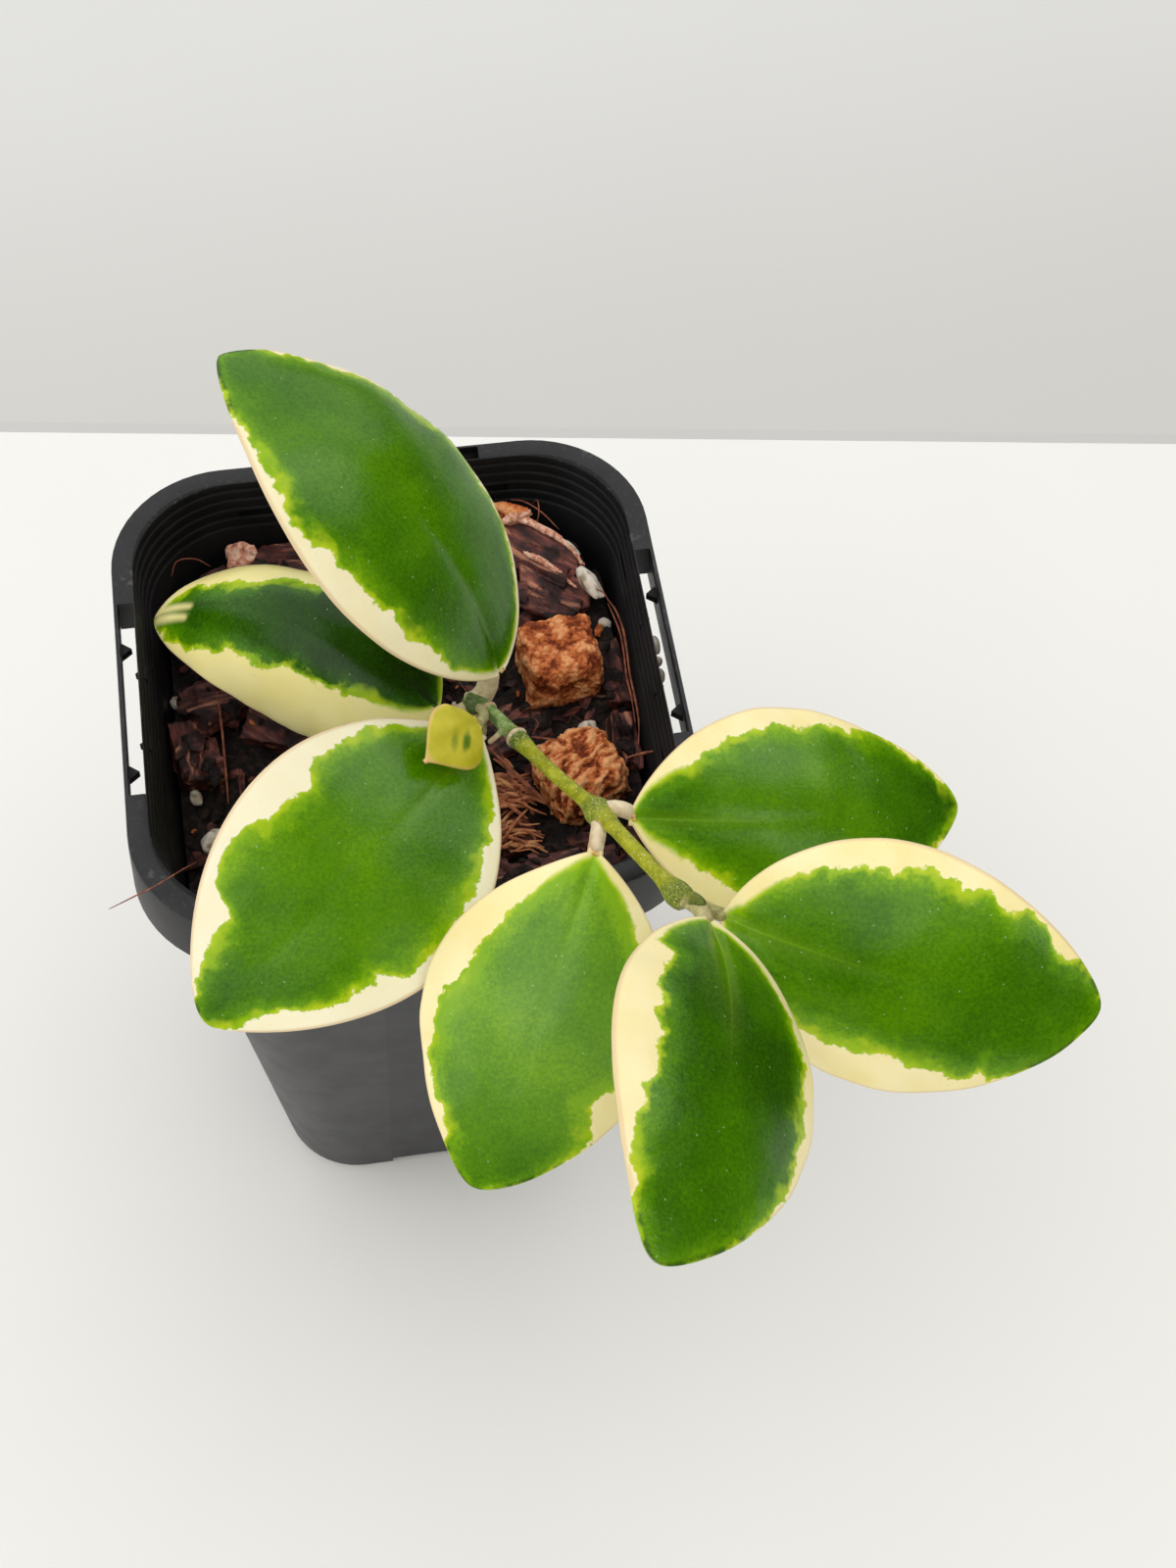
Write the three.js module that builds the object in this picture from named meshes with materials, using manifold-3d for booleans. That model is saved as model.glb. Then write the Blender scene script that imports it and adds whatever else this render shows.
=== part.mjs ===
// Variegated hoya cutting in a tall square nursery pot, filled with a coarse bark and coir mix.
// Millimetres, +Z up. The origin is the centre of the pot's underside, and the front is -Y.
import * as THREE from 'three';
import { mergeVertices } from 'three/addons/utils/BufferGeometryUtils.js';
import Module from 'manifold-3d';

const wasm = await Module();
wasm.setup();

// Pot, one thin plastic moulding
const POT_HEIGHT = 125;
const RIM_HALF = 42.5;
const RIM_CORNER = 18.3;
const SKIRT_HEIGHT = 11;
const SKIRT_FLARE = 0.25;
const SKIRT_WALL = 0.8;
const FLANGE_THICK = 1.0;
const RIM_CHAMFER = 0.3;
const MOUTH_HALF = 39.1;
const MOUTH_STEPS = 5;
const MOUTH_STEP_HEIGHT = 1.9;
const MOUTH_STEP_IN = 0.3;
const WALL_TOP_HALF = 39.9;
const WALL_SKIRT_HALF = 38.4;
const BASE_HALF = 28;
const BASE_CORNER = 14;
const FLOOR_TOP = 4;
const FLOOR_HALF = 27;
const CORNER_STEPS = 8;

// Label slots through the rim, one in the middle of each side, with a rib below each end
const SLOT_HALF_LENGTH = 17.5;
const SLOT_INNER = 39.8;
const SLOT_OUTER = 41.75;
const SLOT_OVERCUT = 0.5;
const RIB_LENGTH = 3.4;
const RIB_THICK = 0.8;
const RIB_HEIGHT = 8.4;

// Pointed teeth below the slots that grip a label: from the skirt, and from the wall. at is the
// way from the slot's middle, root and tip the distance from the pot's axis.
const OUTER_TOOTH = { at: 10.9, root: 42, tip: 41.15, half: 1.3 };
const INNER_TOOTH = { at: 6.3, root: 38.4, tip: 41.1, half: 1.6 };
const TOOTH_TOP = 120;
const TOOTH_BOTTOM = 114.6;

// Drainage recesses in the middle of each bottom edge
const RECESS_HALF_WIDTH = 9;
const RECESS_DEPTH = 12;
const RECESS_HEIGHT = 2.5;
const DRAIN_HALF_LENGTH = 5;
const DRAIN_HALF_WIDTH = 1.75;
const DRAIN_FROM_EDGE = 8;

// Potting mix: mean level between the chips, its slope up to the right and to the back, and how
// far above it the chips may reach
const MIX_LEVEL = 106.5;
const MIX_SLOPE_X = 0.06;
const MIX_SLOPE_Y = 0.04;
const MIX_EDGE_LEVEL = 100.5;
const MIX_SIDE_POINTS = 3;
const MIX_TOP_SHARES = [1, 0.86, 0.72, 0.58, 0.44, 0.3, 0.16];
const CHIP_BOTTOM = 90;
const CHIP_TOP = 122;

// Clearance between pieces that touch
const GAP = 0.35;

// Vine
const STEM_RADIUS = 1.2;
const STEM_SIDES = 8;
const STEM_STATIONS = 40;
const NODE_SWELL = 0.6;
const NODE_LENGTH = 1.6;
const PETIOLE_RADIUS = 1.15;
const YOUNG_PETIOLE_RADIUS = 0.7;
const PETIOLE_STATIONS = 5;
const PETIOLE_SIDES = 8;
const PETIOLE_ENDS_AT = 0.03;
const MIDRIB_THICK = 1.4;
const EDGE_THICK = 0.8;

const radians = THREE.MathUtils.degToRad;
const vec = (x, y, z) => new THREE.Vector3(x, y, z);

// Seeded random numbers from 0 to 1
function randomFrom(seed) {
  let state = seed;
  return () => {
    state = (state * 1664525 + 1013904223) % 4294967296;
    return state / 4294967296;
  };
}

// Solid for joining and cutting, from a closed geometry
function solidOf(geometry) {
  const bare = geometry.clone();
  bare.deleteAttribute('normal');
  bare.deleteAttribute('uv');
  const merged = mergeVertices(bare, 1e-4);
  const vertProperties = new Float32Array(merged.attributes.position.array);
  const triVerts = new Uint32Array(merged.index.array);
  return new wasm.Manifold(new wasm.Mesh({ numProp: 3, vertProperties, triVerts }));
}

function geometryOf(solid) {
  const mesh = solid.getMesh();
  const geometry = new THREE.BufferGeometry();
  geometry.setAttribute('position', new THREE.BufferAttribute(new Float32Array(mesh.vertProperties), 3));
  geometry.setIndex(new THREE.BufferAttribute(new Uint32Array(mesh.triVerts), 1));
  geometry.computeVertexNormals();
  return geometry;
}

// A cut can leave scraps behind, and only the main body is the piece
function mainBody(solid) {
  const bodies = solid.decompose();
  bodies.sort((a, b) => b.volume() - a.volume());
  return bodies[0];
}

// Closed skin through rings of points with equal counts, each turning left about the way it travels
function loft(rings) {
  const count = rings[0].length;
  const points = rings.flat();
  const index = [];
  for (let row = 0; row + 1 < rings.length; row += 1) {
    for (let i = 0; i < count; i += 1) {
      const a = row * count + i;
      const b = row * count + (i + 1) % count;
      index.push(a, b, b + count, a, b + count, a + count);
    }
  }
  const last = (rings.length - 1) * count;
  for (const [ring, start, flipped] of [[rings[0], 0, true], [rings.at(-1), last, false]]) {
    const middle = ring.reduce((sum, p) => sum.add(p), vec(0, 0, 0)).divideScalar(count);
    points.push(middle);
    for (let i = 0; i < count; i += 1) {
      const pair = [start + i, start + (i + 1) % count];
      if (flipped) {
        pair.reverse();
      }
      index.push(points.length - 1, ...pair);
    }
  }
  const geometry = new THREE.BufferGeometry();
  const coordinates = points.flatMap((p) => [p.x, p.y, p.z]);
  geometry.setAttribute('position', new THREE.Float32BufferAttribute(coordinates, 3));
  geometry.setIndex(index);
  return geometry;
}

// Round tube along a curve, its radius given at each station from 0 to 1
function sweep(curve, stations, radiusAt, sides) {
  const frames = curve.computeFrenetFrames(stations.length - 1, false);
  const rings = stations.map((t, row) => {
    const centre = curve.getPointAt(t);
    const radius = radiusAt(t);
    return Array.from({ length: sides }, (_, i) => {
      const angle = 2 * Math.PI * i / sides;
      return centre.clone()
        .addScaledVector(frames.normals[row], radius * Math.cos(angle))
        .addScaledVector(frames.binormals[row], radius * Math.sin(angle));
    });
  });
  return loft(rings);
}

const evenStations = (count) => Array.from({ length: count + 1 }, (_, i) => i / count);

// Ring of points round a square with round corners, with extra points along its straight sides
function squareRing(half, corner, z, sidePoints = 0) {
  const ring = [];
  for (let quarter = 0; quarter < 4; quarter += 1) {
    const spin = quarter * Math.PI / 2;
    const place = (x, y) => ring.push(vec(
      x * Math.cos(spin) - y * Math.sin(spin),
      x * Math.sin(spin) + y * Math.cos(spin),
      z,
    ));
    const straight = half - corner;
    for (let i = 1; i <= sidePoints; i += 1) {
      place(half, straight * (2 * i / (sidePoints + 1) - 1));
    }
    for (let i = 0; i <= CORNER_STEPS; i += 1) {
      const angle = i / CORNER_STEPS * Math.PI / 2;
      place(straight + corner * Math.cos(angle), straight + corner * Math.sin(angle));
    }
  }
  return ring;
}

// Corner radius that keeps a line a fixed way inside the rim's own
const rimCorner = (half) => RIM_CORNER - (RIM_HALF - half) * 0.5;

// Inside of the wall below the steps, and the space that the mix and chips may fill
const MOUTH_BOTTOM = POT_HEIGHT - MOUTH_STEPS * MOUTH_STEP_HEIGHT;
const MOUTH_BOTTOM_HALF = MOUTH_HALF - MOUTH_STEPS * MOUTH_STEP_IN;

function insideRing(z, inset, sidePoints) {
  const t = (z - FLOOR_TOP) / (MOUTH_BOTTOM - FLOOR_TOP);
  const half = THREE.MathUtils.lerp(FLOOR_HALF, MOUTH_BOTTOM_HALF, t);
  const corner = THREE.MathUtils.lerp(BASE_CORNER - 1, rimCorner(MOUTH_BOTTOM_HALF), t);
  return squareRing(half - inset, corner - inset, z, sidePoints);
}

// Pot: tapered wall, stepped mouth, flat flange with a hanging skirt, ribs, slots and drainage
function tooth(shape, end) {
  const outline = new THREE.Shape();
  outline.moveTo(shape.root, end * shape.at - shape.half);
  outline.lineTo(shape.tip, end * shape.at);
  outline.lineTo(shape.root, end * shape.at + shape.half);
  const depth = TOOTH_TOP - TOOTH_BOTTOM;
  return new THREE.ExtrudeGeometry(outline, { depth, bevelEnabled: false }).translate(0, 0, TOOTH_BOTTOM);
}

function boxAt(sizeX, sizeY, sizeZ, x, y, z) {
  return new THREE.BoxGeometry(sizeX, sizeY, sizeZ).translate(x, y, z);
}

function pot() {
  const skirtBottom = POT_HEIGHT - SKIRT_HEIGHT;
  const flangeBottom = POT_HEIGHT - FLANGE_THICK;
  const skirtHalf = RIM_HALF + SKIRT_FLARE;
  const rings = [
    squareRing(BASE_HALF, BASE_CORNER, 0),
    squareRing(WALL_SKIRT_HALF, rimCorner(WALL_SKIRT_HALF), skirtBottom),
    squareRing(WALL_TOP_HALF, rimCorner(WALL_TOP_HALF), flangeBottom),
    squareRing(RIM_HALF - SKIRT_WALL, rimCorner(RIM_HALF - SKIRT_WALL), flangeBottom),
    squareRing(skirtHalf - SKIRT_WALL, rimCorner(skirtHalf - SKIRT_WALL), skirtBottom),
    squareRing(skirtHalf, rimCorner(skirtHalf), skirtBottom),
    squareRing(RIM_HALF, RIM_CORNER, POT_HEIGHT - RIM_CHAMFER),
    squareRing(RIM_HALF - RIM_CHAMFER, rimCorner(RIM_HALF - RIM_CHAMFER), POT_HEIGHT),
    squareRing(MOUTH_HALF, rimCorner(MOUTH_HALF), POT_HEIGHT),
  ];
  for (let step = 1; step <= MOUTH_STEPS; step += 1) {
    const z = POT_HEIGHT - step * MOUTH_STEP_HEIGHT;
    const above = MOUTH_HALF - (step - 1) * MOUTH_STEP_IN;
    const below = above - MOUTH_STEP_IN;
    rings.push(squareRing(above, rimCorner(above), z + MOUTH_STEP_IN));
    rings.push(squareRing(below, rimCorner(below), z));
  }
  rings.push(insideRing(FLOOR_TOP, 0, 0));
  let body = solidOf(loft(rings));
  const ribX = (WALL_SKIRT_HALF + RIM_HALF) / 2;
  const ribY = SLOT_HALF_LENGTH + RIB_THICK / 2;
  const ribZ = flangeBottom - RIB_HEIGHT / 2 + RIM_CHAMFER;
  const slotWidth = SLOT_OUTER - SLOT_INNER;
  const slotX = SLOT_INNER + slotWidth / 2;
  const drainX = BASE_HALF - DRAIN_FROM_EDGE;
  for (let side = 0; side < 4; side += 1) {
    const spin = side * Math.PI / 2;
    const turned = (geometry) => solidOf(geometry.rotateZ(spin));
    const slot = boxAt(slotWidth, 2 * SLOT_HALF_LENGTH, 2 * FLANGE_THICK, slotX, 0, POT_HEIGHT);
    body = body.subtract(turned(slot.translate(0, 0, -SLOT_OVERCUT)));
    for (const end of [-1, 1]) {
      body = body.add(turned(boxAt(RIB_LENGTH, RIB_THICK, RIB_HEIGHT, ribX, end * ribY, ribZ)));
      body = body.add(turned(tooth(OUTER_TOOTH, end)));
      body = body.add(turned(tooth(INNER_TOOTH, end)));
    }
    const recess = boxAt(2 * RECESS_DEPTH, 2 * RECESS_HALF_WIDTH, 2 * RECESS_HEIGHT, BASE_HALF, 0, 0);
    body = body.subtract(turned(recess));
    const drain = boxAt(2 * DRAIN_HALF_WIDTH, 2 * DRAIN_HALF_LENGTH, 2 * FLOOR_TOP, drainX, 0, FLOOR_TOP);
    body = body.subtract(turned(drain));
  }
  return body;
}

// Vine stem: it rises from the mix to its first node, leans over the front right corner of the
// pot and carries a pair of leaves at each node. Node places are measured from the photograph.
const FIRST_NODE = [10, -10.2, 128.5];
const RING_NODE = [14.2, -20.1, 132.5];
const SECOND_NODE = [22.6, -40.2, 142];
const THIRD_NODE = [32.3, -59.4, 150];
const NODES = [FIRST_NODE, RING_NODE, SECOND_NODE, THIRD_NODE];

// Straight pieces on the stem: pale collar at the ring node, dry flower stub beside it, end bud
const COLLAR = { from: [13.6, -19.2, 132.1], to: [14.1, -20.2, 132.6], radii: [1.9, 2.1], sides: 8 };
const STUB = { from: [12.8, -17.4, 131.6], to: [10.9, -19.4, 131.2], radii: [0.55, 0.7], sides: 6 };
const BUD = { from: THIRD_NODE, to: [34.2, -62, 152.4], radii: [1.1, 0.35], sides: 6 };
const STEM_ROUTE = new THREE.CatmullRomCurve3([
  vec(10.5, -7, 84),
  vec(10.4, -8, 100),
  vec(10, -9, 118),
  vec(...FIRST_NODE),
  vec(11.9, -13.4, 130.6),
  vec(...RING_NODE),
  vec(18.6, -30.2, 137.4),
  vec(...SECOND_NODE),
  vec(27.7, -50.2, 146.6),
  vec(...THIRD_NODE),
], false, 'centripetal');

function stemRadius(point, grown) {
  const swell = NODES.map((node) => {
    const away = point.distanceTo(vec(...node)) / NODE_LENGTH;
    return NODE_SWELL * Math.exp(-away * away);
  });
  return STEM_RADIUS + Math.max(...swell) + grown;
}

function rod(piece, grown) {
  const path = new THREE.LineCurve3(vec(...piece.from), vec(...piece.to));
  return sweep(path, [0, 1], (t) => THREE.MathUtils.lerp(...piece.radii, t) + grown, piece.sides);
}

function stem(grown) {
  const tube = sweep(
    STEM_ROUTE,
    evenStations(STEM_STATIONS),
    (t) => stemRadius(STEM_ROUTE.getPointAt(t), grown),
    STEM_SIDES,
  );
  return [COLLAR, STUB, BUD].reduce((whole, piece) => whole.add(solidOf(rod(piece, grown))), solidOf(tube));
}

// Leaves: yaw is the heading of the midrib seen from above, pitch its mean climb, roll the lift of
// the left half, bend and sway how far pitch and yaw turn from base to tip, and cup how far the
// halves fold down, all in degrees. left and right are the widths of the two halves. Each half's
// outline goes as u^base * (1 - u)^tip, with baseShape and tipShape for the left and the right
// half, and blunt rounds the tip. node is where the petiole leaves the stem.
const LEAVES = [
  {
    name: 'leaf_1', base: [14.3, -9.4, 134], node: FIRST_NODE, length: 65.8, left: 20, right: 19.3,
    yaw: 137, pitch: 39.5, roll: 16, bend: 72.5, sway: 20, cup: 26,
    baseShape: [0.82, 0.68], tipShape: [0.87, 0.8], blunt: 0.8,
  },
  {
    name: 'leaf_2', base: [4.7, -10.4, 127], node: FIRST_NODE, length: 55.3, left: 18, right: 18,
    yaw: 146, pitch: -8.5, roll: -11, bend: 80, sway: 17, cup: 83,
    baseShape: [0.46, 0.87], tipShape: [0.82, 1.02], blunt: 0.9,
  },
  {
    name: 'leaf_3', base: [10.1, -18, 131.5], node: FIRST_NODE, length: 61.5, left: 18.5, right: 19,
    yaw: -138, pitch: -4, roll: -25.5, bend: 47, sway: -26.5, cup: 2.5,
    baseShape: [0.96, 0.84], tipShape: [1, 0.86], blunt: 1.2,
  },
  {
    name: 'leaf_5', base: [28.5, -41.3, 142], node: SECOND_NODE, length: 54.4, left: 17.4, right: 15.2,
    yaw: 6, pitch: -17, roll: 28, bend: 26, sway: 31, cup: 30,
    baseShape: [0.73, 0.86], tipShape: [0.92, 1.07], blunt: 1.5,
  },
  {
    name: 'leaf_6', base: [36.8, -60.9, 147], node: THIRD_NODE, length: 53, left: 17.2, right: 17.8,
    yaw: -23.5, pitch: 0, roll: 45.5, bend: 37, sway: 43, cup: 27,
    baseShape: [0.67, 0.71], tipShape: [0.86, 0.89], blunt: 1.1,
  },
  {
    name: 'leaf_7', base: [34, -63.6, 151.5], node: THIRD_NODE, length: 54.3, left: 17, right: 16,
    yaw: -108.5, pitch: 10, roll: -34.5, bend: 31, sway: -45, cup: 22,
    baseShape: [0.84, 0.69], tipShape: [1, 0.85], blunt: 1,
  },
  {
    name: 'leaf_8', base: [22.4, -45.8, 142], node: SECOND_NODE, length: 51, left: 18, right: 18.7,
    yaw: -122, pitch: -31, roll: -6.5, bend: 38, sway: -16.5, cup: 40,
    baseShape: [0.92, 0.94], tipShape: [1.07, 1.12], blunt: 2.5,
  },
  {
    name: 'young_leaf', base: [9.4, -20.3, 138], node: FIRST_NODE, length: 11.2, left: 5.3, right: 5.2,
    yaw: -142, pitch: 8, roll: -32.5, bend: 40, sway: -14, cup: 24,
    baseShape: [0.87, 0.89], tipShape: [1.35, 1.4], blunt: 0.1,
  },
];
const MIDRIB_SLICES = 40;
const BASE_HALF_WIDTH = 0.9;
const TIP_HALF_WIDTH = 0.35;
const YOUNG_LENGTH = 20;
const LEAF_GRID = [16, 8];
const YOUNG_GRID = [10, 6];

const isYoung = (leaf) => leaf.length < YOUNG_LENGTH;

function heading(leaf, t) {
  const pitch = radians(leaf.pitch - leaf.bend * (t - 0.5));
  const yaw = radians(leaf.yaw + leaf.sway * (t - 0.5));
  return vec(Math.cos(pitch) * Math.cos(yaw), Math.cos(pitch) * Math.sin(yaw), Math.sin(pitch));
}

function midrib(leaf, u) {
  const point = vec(...leaf.base);
  for (let i = 0; i < MIDRIB_SLICES; i += 1) {
    point.addScaledVector(heading(leaf, (i + 0.5) / MIDRIB_SLICES * u), leaf.length * u / MIDRIB_SLICES);
  }
  return point;
}

// Share of a half's full width at u, for the left half (0) or the right half (1)
function outlineShare(leaf, u, side) {
  const base = leaf.baseShape[side];
  const tip = leaf.tipShape[side];
  const shape = (t) => t ** base * (1 - t) ** tip;
  return shape(u) / shape(base / (base + tip));
}

function halfWidth(leaf, u, side) {
  const full = side === 0 ? leaf.left : leaf.right;
  const rounding = leaf.blunt * u ** 4 * Math.sqrt(1 - u ** 8);
  const least = THREE.MathUtils.lerp(BASE_HALF_WIDTH, TIP_HALF_WIDTH, u);
  return Math.max(full * outlineShare(leaf, u, side) + rounding, least);
}

// Point and upward normal of the blade at u from base to tip, v from -1 right edge to 1 left edge
function bladeAt(leaf, u, v) {
  const along = heading(leaf, u);
  const yaw = Math.atan2(along.y, along.x);
  const level = vec(-Math.sin(yaw), Math.cos(yaw), 0);
  const upright = along.clone().cross(level);
  const roll = radians(leaf.roll);
  const across = level.multiplyScalar(Math.cos(roll)).addScaledVector(upright, Math.sin(roll));
  const out = along.clone().cross(across);
  const reach = v * halfWidth(leaf, u, v > 0 ? 0 : 1);
  const curl = radians(leaf.cup) / ((leaf.left + leaf.right) / 2);
  const point = midrib(leaf, u)
    .addScaledVector(across, Math.sin(curl * reach) / curl)
    .addScaledVector(out, -(1 - Math.cos(curl * reach)) / curl);
  const normal = out.multiplyScalar(Math.cos(curl * reach)).addScaledVector(across, Math.sin(curl * reach));
  return { point, normal };
}

function blade(leaf, lengthSteps, widthSteps, grown) {
  const rings = [];
  for (let row = 0; row <= lengthSteps; row += 1) {
    const u = (1 - Math.cos(Math.PI * row / lengthSteps)) / 2;
    const upper = [];
    const lower = [];
    for (let column = 0; column <= widthSteps; column += 1) {
      const v = 1 - 2 * column / widthSteps;
      const { point, normal } = bladeAt(leaf, u, v);
      const share = outlineShare(leaf, u, 0) * (1 - v * v);
      const half = THREE.MathUtils.lerp(EDGE_THICK, MIDRIB_THICK, share) / 2 + grown;
      upper.push(point.clone().addScaledVector(normal, half));
      lower.unshift(point.clone().addScaledVector(normal, -half));
    }
    rings.push([...upper, ...lower]);
  }
  return loft(rings);
}

function petiole(leaf, grown) {
  const start = vec(...leaf.node);
  const finish = bladeAt(leaf, PETIOLE_ENDS_AT, 0).point;
  const reach = start.distanceTo(finish) / 3;
  const bend = vec(...leaf.base).addScaledVector(heading(leaf, 0), -reach);
  const path = new THREE.QuadraticBezierCurve3(start, bend, finish);
  const thick = (isYoung(leaf) ? YOUNG_PETIOLE_RADIUS : PETIOLE_RADIUS) + grown;
  return sweep(path, evenStations(PETIOLE_STATIONS), () => thick, PETIOLE_SIDES);
}

function wholeLeaf(leaf, grown) {
  const [lengthSteps, widthSteps] = isYoung(leaf) ? YOUNG_GRID : LEAF_GRID;
  return solidOf(blade(leaf, lengthSteps, widthSteps, grown)).add(solidOf(petiole(leaf, grown)));
}

// Chips lying in the top of the mix: size is length, width and height, turn the tilt about X and
// Y and the spin about Z in degrees. The first word of a name is the kind of chip.
const CHIPS = [
  { name: 'coco_chip_1', at: [26, 6.5, 112.5], size: [13.5, 13, 11], turn: [6, -8, 14] },
  { name: 'coco_chip_2', at: [26.5, -14, 110], size: [15, 14, 12], turn: [10, 12, 32] },
  { name: 'coir_tuft', at: [15, -21, 106.5], size: [7, 8, 4], turn: [4, 0, 10] },
  { name: 'pumice_back', at: [30.5, 29, 110.5], size: [5, 3, 3], turn: [0, 10, -40] },
  { name: 'pumice_side', at: [33, 21, 110.5], size: [4.5, 5.5, 4.5], turn: [0, 0, 20] },
  { name: 'pumice_right', at: [34.7, 15, 109], size: [3, 3, 3], turn: [0, 0, 0] },
  { name: 'pumice_middle', at: [29, -4, 108], size: [4, 3.5, 3], turn: [0, 0, 30] },
  { name: 'pumice_left', at: [-33.5, -7, 105.5], size: [2.5, 3.5, 2.5], turn: [0, 0, 10] },
  { name: 'pumice_corner', at: [-31, -15.5, 105.5], size: [6, 5, 4], turn: [0, 0, 40] },
  { name: 'pumice_far_left', at: [-35, 11, 106], size: [3.5, 3, 2.5], turn: [0, 0, 0] },
  { name: 'pumice_top_left', at: [-23, 31.5, 110], size: [6, 4, 4], turn: [0, 0, 25] },
  { name: 'bark_back', at: [22, 29, 110.5], size: [22, 4, 9], turn: [28, 0, -34] },
  { name: 'bark_mid_back', at: [23, 21.5, 109], size: [20, 5, 7], turn: [18, 0, -30] },
  { name: 'bark_right', at: [34, 5, 108.5], size: [5, 14, 5], turn: [0, 12, 4] },
  { name: 'bark_right_front', at: [34, -8, 108], size: [4.5, 11, 6], turn: [0, 22, -6] },
  { name: 'bark_centre', at: [17, -3, 107.5], size: [14, 8, 4], turn: [8, 6, 20] },
  { name: 'bark_front', at: [17, -30, 107], size: [17, 7, 5], turn: [-6, 4, 8] },
  { name: 'bark_left_plate', at: [-27, 10, 107.5], size: [16, 11, 4], turn: [-14, 10, 30] },
  { name: 'bark_left_block', at: [-33, 0, 106.5], size: [8, 12, 6], turn: [6, 14, 12] },
  { name: 'bark_inner_left', at: [-18, 4, 107.5], size: [13, 11, 6], turn: [10, -8, -24] },
  { name: 'bark_top_left', at: [-29, 25, 108.5], size: [13, 10, 5], turn: [10, 6, 36] },
  { name: 'bark_back_left', at: [-13, 32, 110], size: [17, 7, 6], turn: [-14, 4, -8] },
  { name: 'bark_back_middle', at: [4, 31, 110], size: [16, 9, 5], turn: [12, -6, 14] },
  { name: 'bark_inner_back', at: [2, 16, 108.5], size: [18, 12, 5], turn: [6, 8, 50] },
  { name: 'coco_chip_3', at: [-10, 19, 108.5], size: [11, 10, 8], turn: [8, 6, 70] },
  { name: 'bark_front_left', at: [-19, -24, 106], size: [17, 12, 5], turn: [8, -6, -32] },
  { name: 'coco_chip_4', at: [-5, -20, 106.5], size: [12, 11, 8], turn: [-6, 8, 20] },
  { name: 'bark_front_middle', at: [2, -32, 106.5], size: [15, 8, 5], turn: [6, 10, -12] },
];

// Pumice grains caught between the wall and the skirt, under the slot on the right
const SLOT_GRAINS = [
  { name: 'pumice_slot_1', at: [40.45, 2.6, 119.5], size: [1.9, 4, 3.4], turn: [0, 0, 0] },
  { name: 'pumice_slot_2', at: [40.45, -0.2, 119], size: [1.9, 1.9, 2.4], turn: [0, 0, 0] },
  { name: 'pumice_slot_3', at: [40.45, -2.6, 118.5], size: [1.9, 3, 3], turn: [0, 0, 0] },
];
const CHIP_STARTS = {
  coco: () => new THREE.IcosahedronGeometry(1, 1),
  coir: () => new THREE.IcosahedronGeometry(1, 1),
  bark: () => new THREE.BoxGeometry(2, 2, 2, 3, 2, 1),
  pumice: () => new THREE.IcosahedronGeometry(1, 0),
};
const FIRST_CHIP_SEED = 11;
const FIRST_GRAIN_SEED = 71;
// How uneven each kind is, and how square: 0 is a pebble and 1 a block
const UNEVEN = { coco: 0.12, coir: 0.14, bark: 0.22, pumice: 0.08 };
const SQUARE = { coco: 0.7, coir: 0.4, bark: 0, pumice: 0.3 };

const kindOf = (piece) => piece.name.split('_')[0];

function chip(piece, seed, grown) {
  const random = randomFrom(seed);
  const kind = kindOf(piece);
  const geometry = CHIP_STARTS[kind]();
  geometry.deleteAttribute('normal');
  geometry.deleteAttribute('uv');
  const merged = mergeVertices(geometry, 1e-4);
  const place = merged.attributes.position;
  const half = vec(...piece.size).multiplyScalar(0.5).addScalar(grown);
  for (let i = 0; i < place.count; i += 1) {
    const corner = vec(place.getX(i), place.getY(i), place.getZ(i));
    const largest = Math.max(Math.abs(corner.x), Math.abs(corner.y), Math.abs(corner.z));
    const stretch = largest ** -SQUARE[kind] * (1 - UNEVEN[kind] * random());
    corner.multiplyScalar(stretch).clampScalar(-1, 1).multiply(half);
    place.setXYZ(i, corner.x, corner.y, corner.z);
  }
  const [tiltX, tiltY, spin] = piece.turn.map(radians);
  return merged.rotateX(tiltX).rotateY(tiltY).rotateZ(spin).translate(...piece.at);
}

// Level of the mix between the chips
function mixLevel(x, y) {
  const lumps = 1.1 * Math.sin(0.42 * x + 1) * Math.cos(0.38 * y)
    + 0.8 * Math.sin(0.8 * x - 0.65 * y + 2)
    + 0.5 * Math.cos(1.1 * y + 0.5 * x);
  return MIX_LEVEL + MIX_SLOPE_X * x + MIX_SLOPE_Y * y + lumps;
}

function pottingMix() {
  const rings = [
    insideRing(FLOOR_TOP + GAP, GAP, MIX_SIDE_POINTS),
    insideRing(MIX_EDGE_LEVEL, GAP, MIX_SIDE_POINTS),
  ];
  for (const share of MIX_TOP_SHARES) {
    rings.push(rings[1].map((p) => vec(p.x * share, p.y * share, mixLevel(p.x * share, p.y * share))));
  }
  return solidOf(loft(rings));
}

function insideOfMouth() {
  const levels = [[CHIP_BOTTOM, GAP], [MOUTH_BOTTOM, GAP], [CHIP_TOP, 3 * GAP]];
  return solidOf(loft(levels.map(([z, inset]) => insideRing(z, inset, 0))));
}

// Materials
const MATERIALS = {
  pot: { color: 0x232326, roughness: 0.45 },
  mix: { color: 0x2b1b16, roughness: 0.95 },
  coco: { color: 0xb4683a, roughness: 0.95 },
  coir: { color: 0x9c6238, roughness: 0.95 },
  bark: { color: 0x4a2420, roughness: 0.85 },
  pumice: { color: 0xc4b8a6, roughness: 0.9 },
  stem: { color: 0x87a03a, roughness: 0.6 },
  leaf: { color: 0x3f7a23, roughness: 0.4 },
  young: { color: 0xb9ae2a, roughness: 0.5 },
};

const plant = new THREE.Group();

function addPiece(name, solid, finish) {
  const mesh = new THREE.Mesh(geometryOf(mainBody(solid)), new THREE.MeshStandardMaterial(MATERIALS[finish]));
  mesh.name = name;
  plant.add(mesh);
}

const stemSpace = stem(GAP);
addPiece('pot', pot(), 'pot');
addPiece('stem', stem(0), 'stem');

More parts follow.
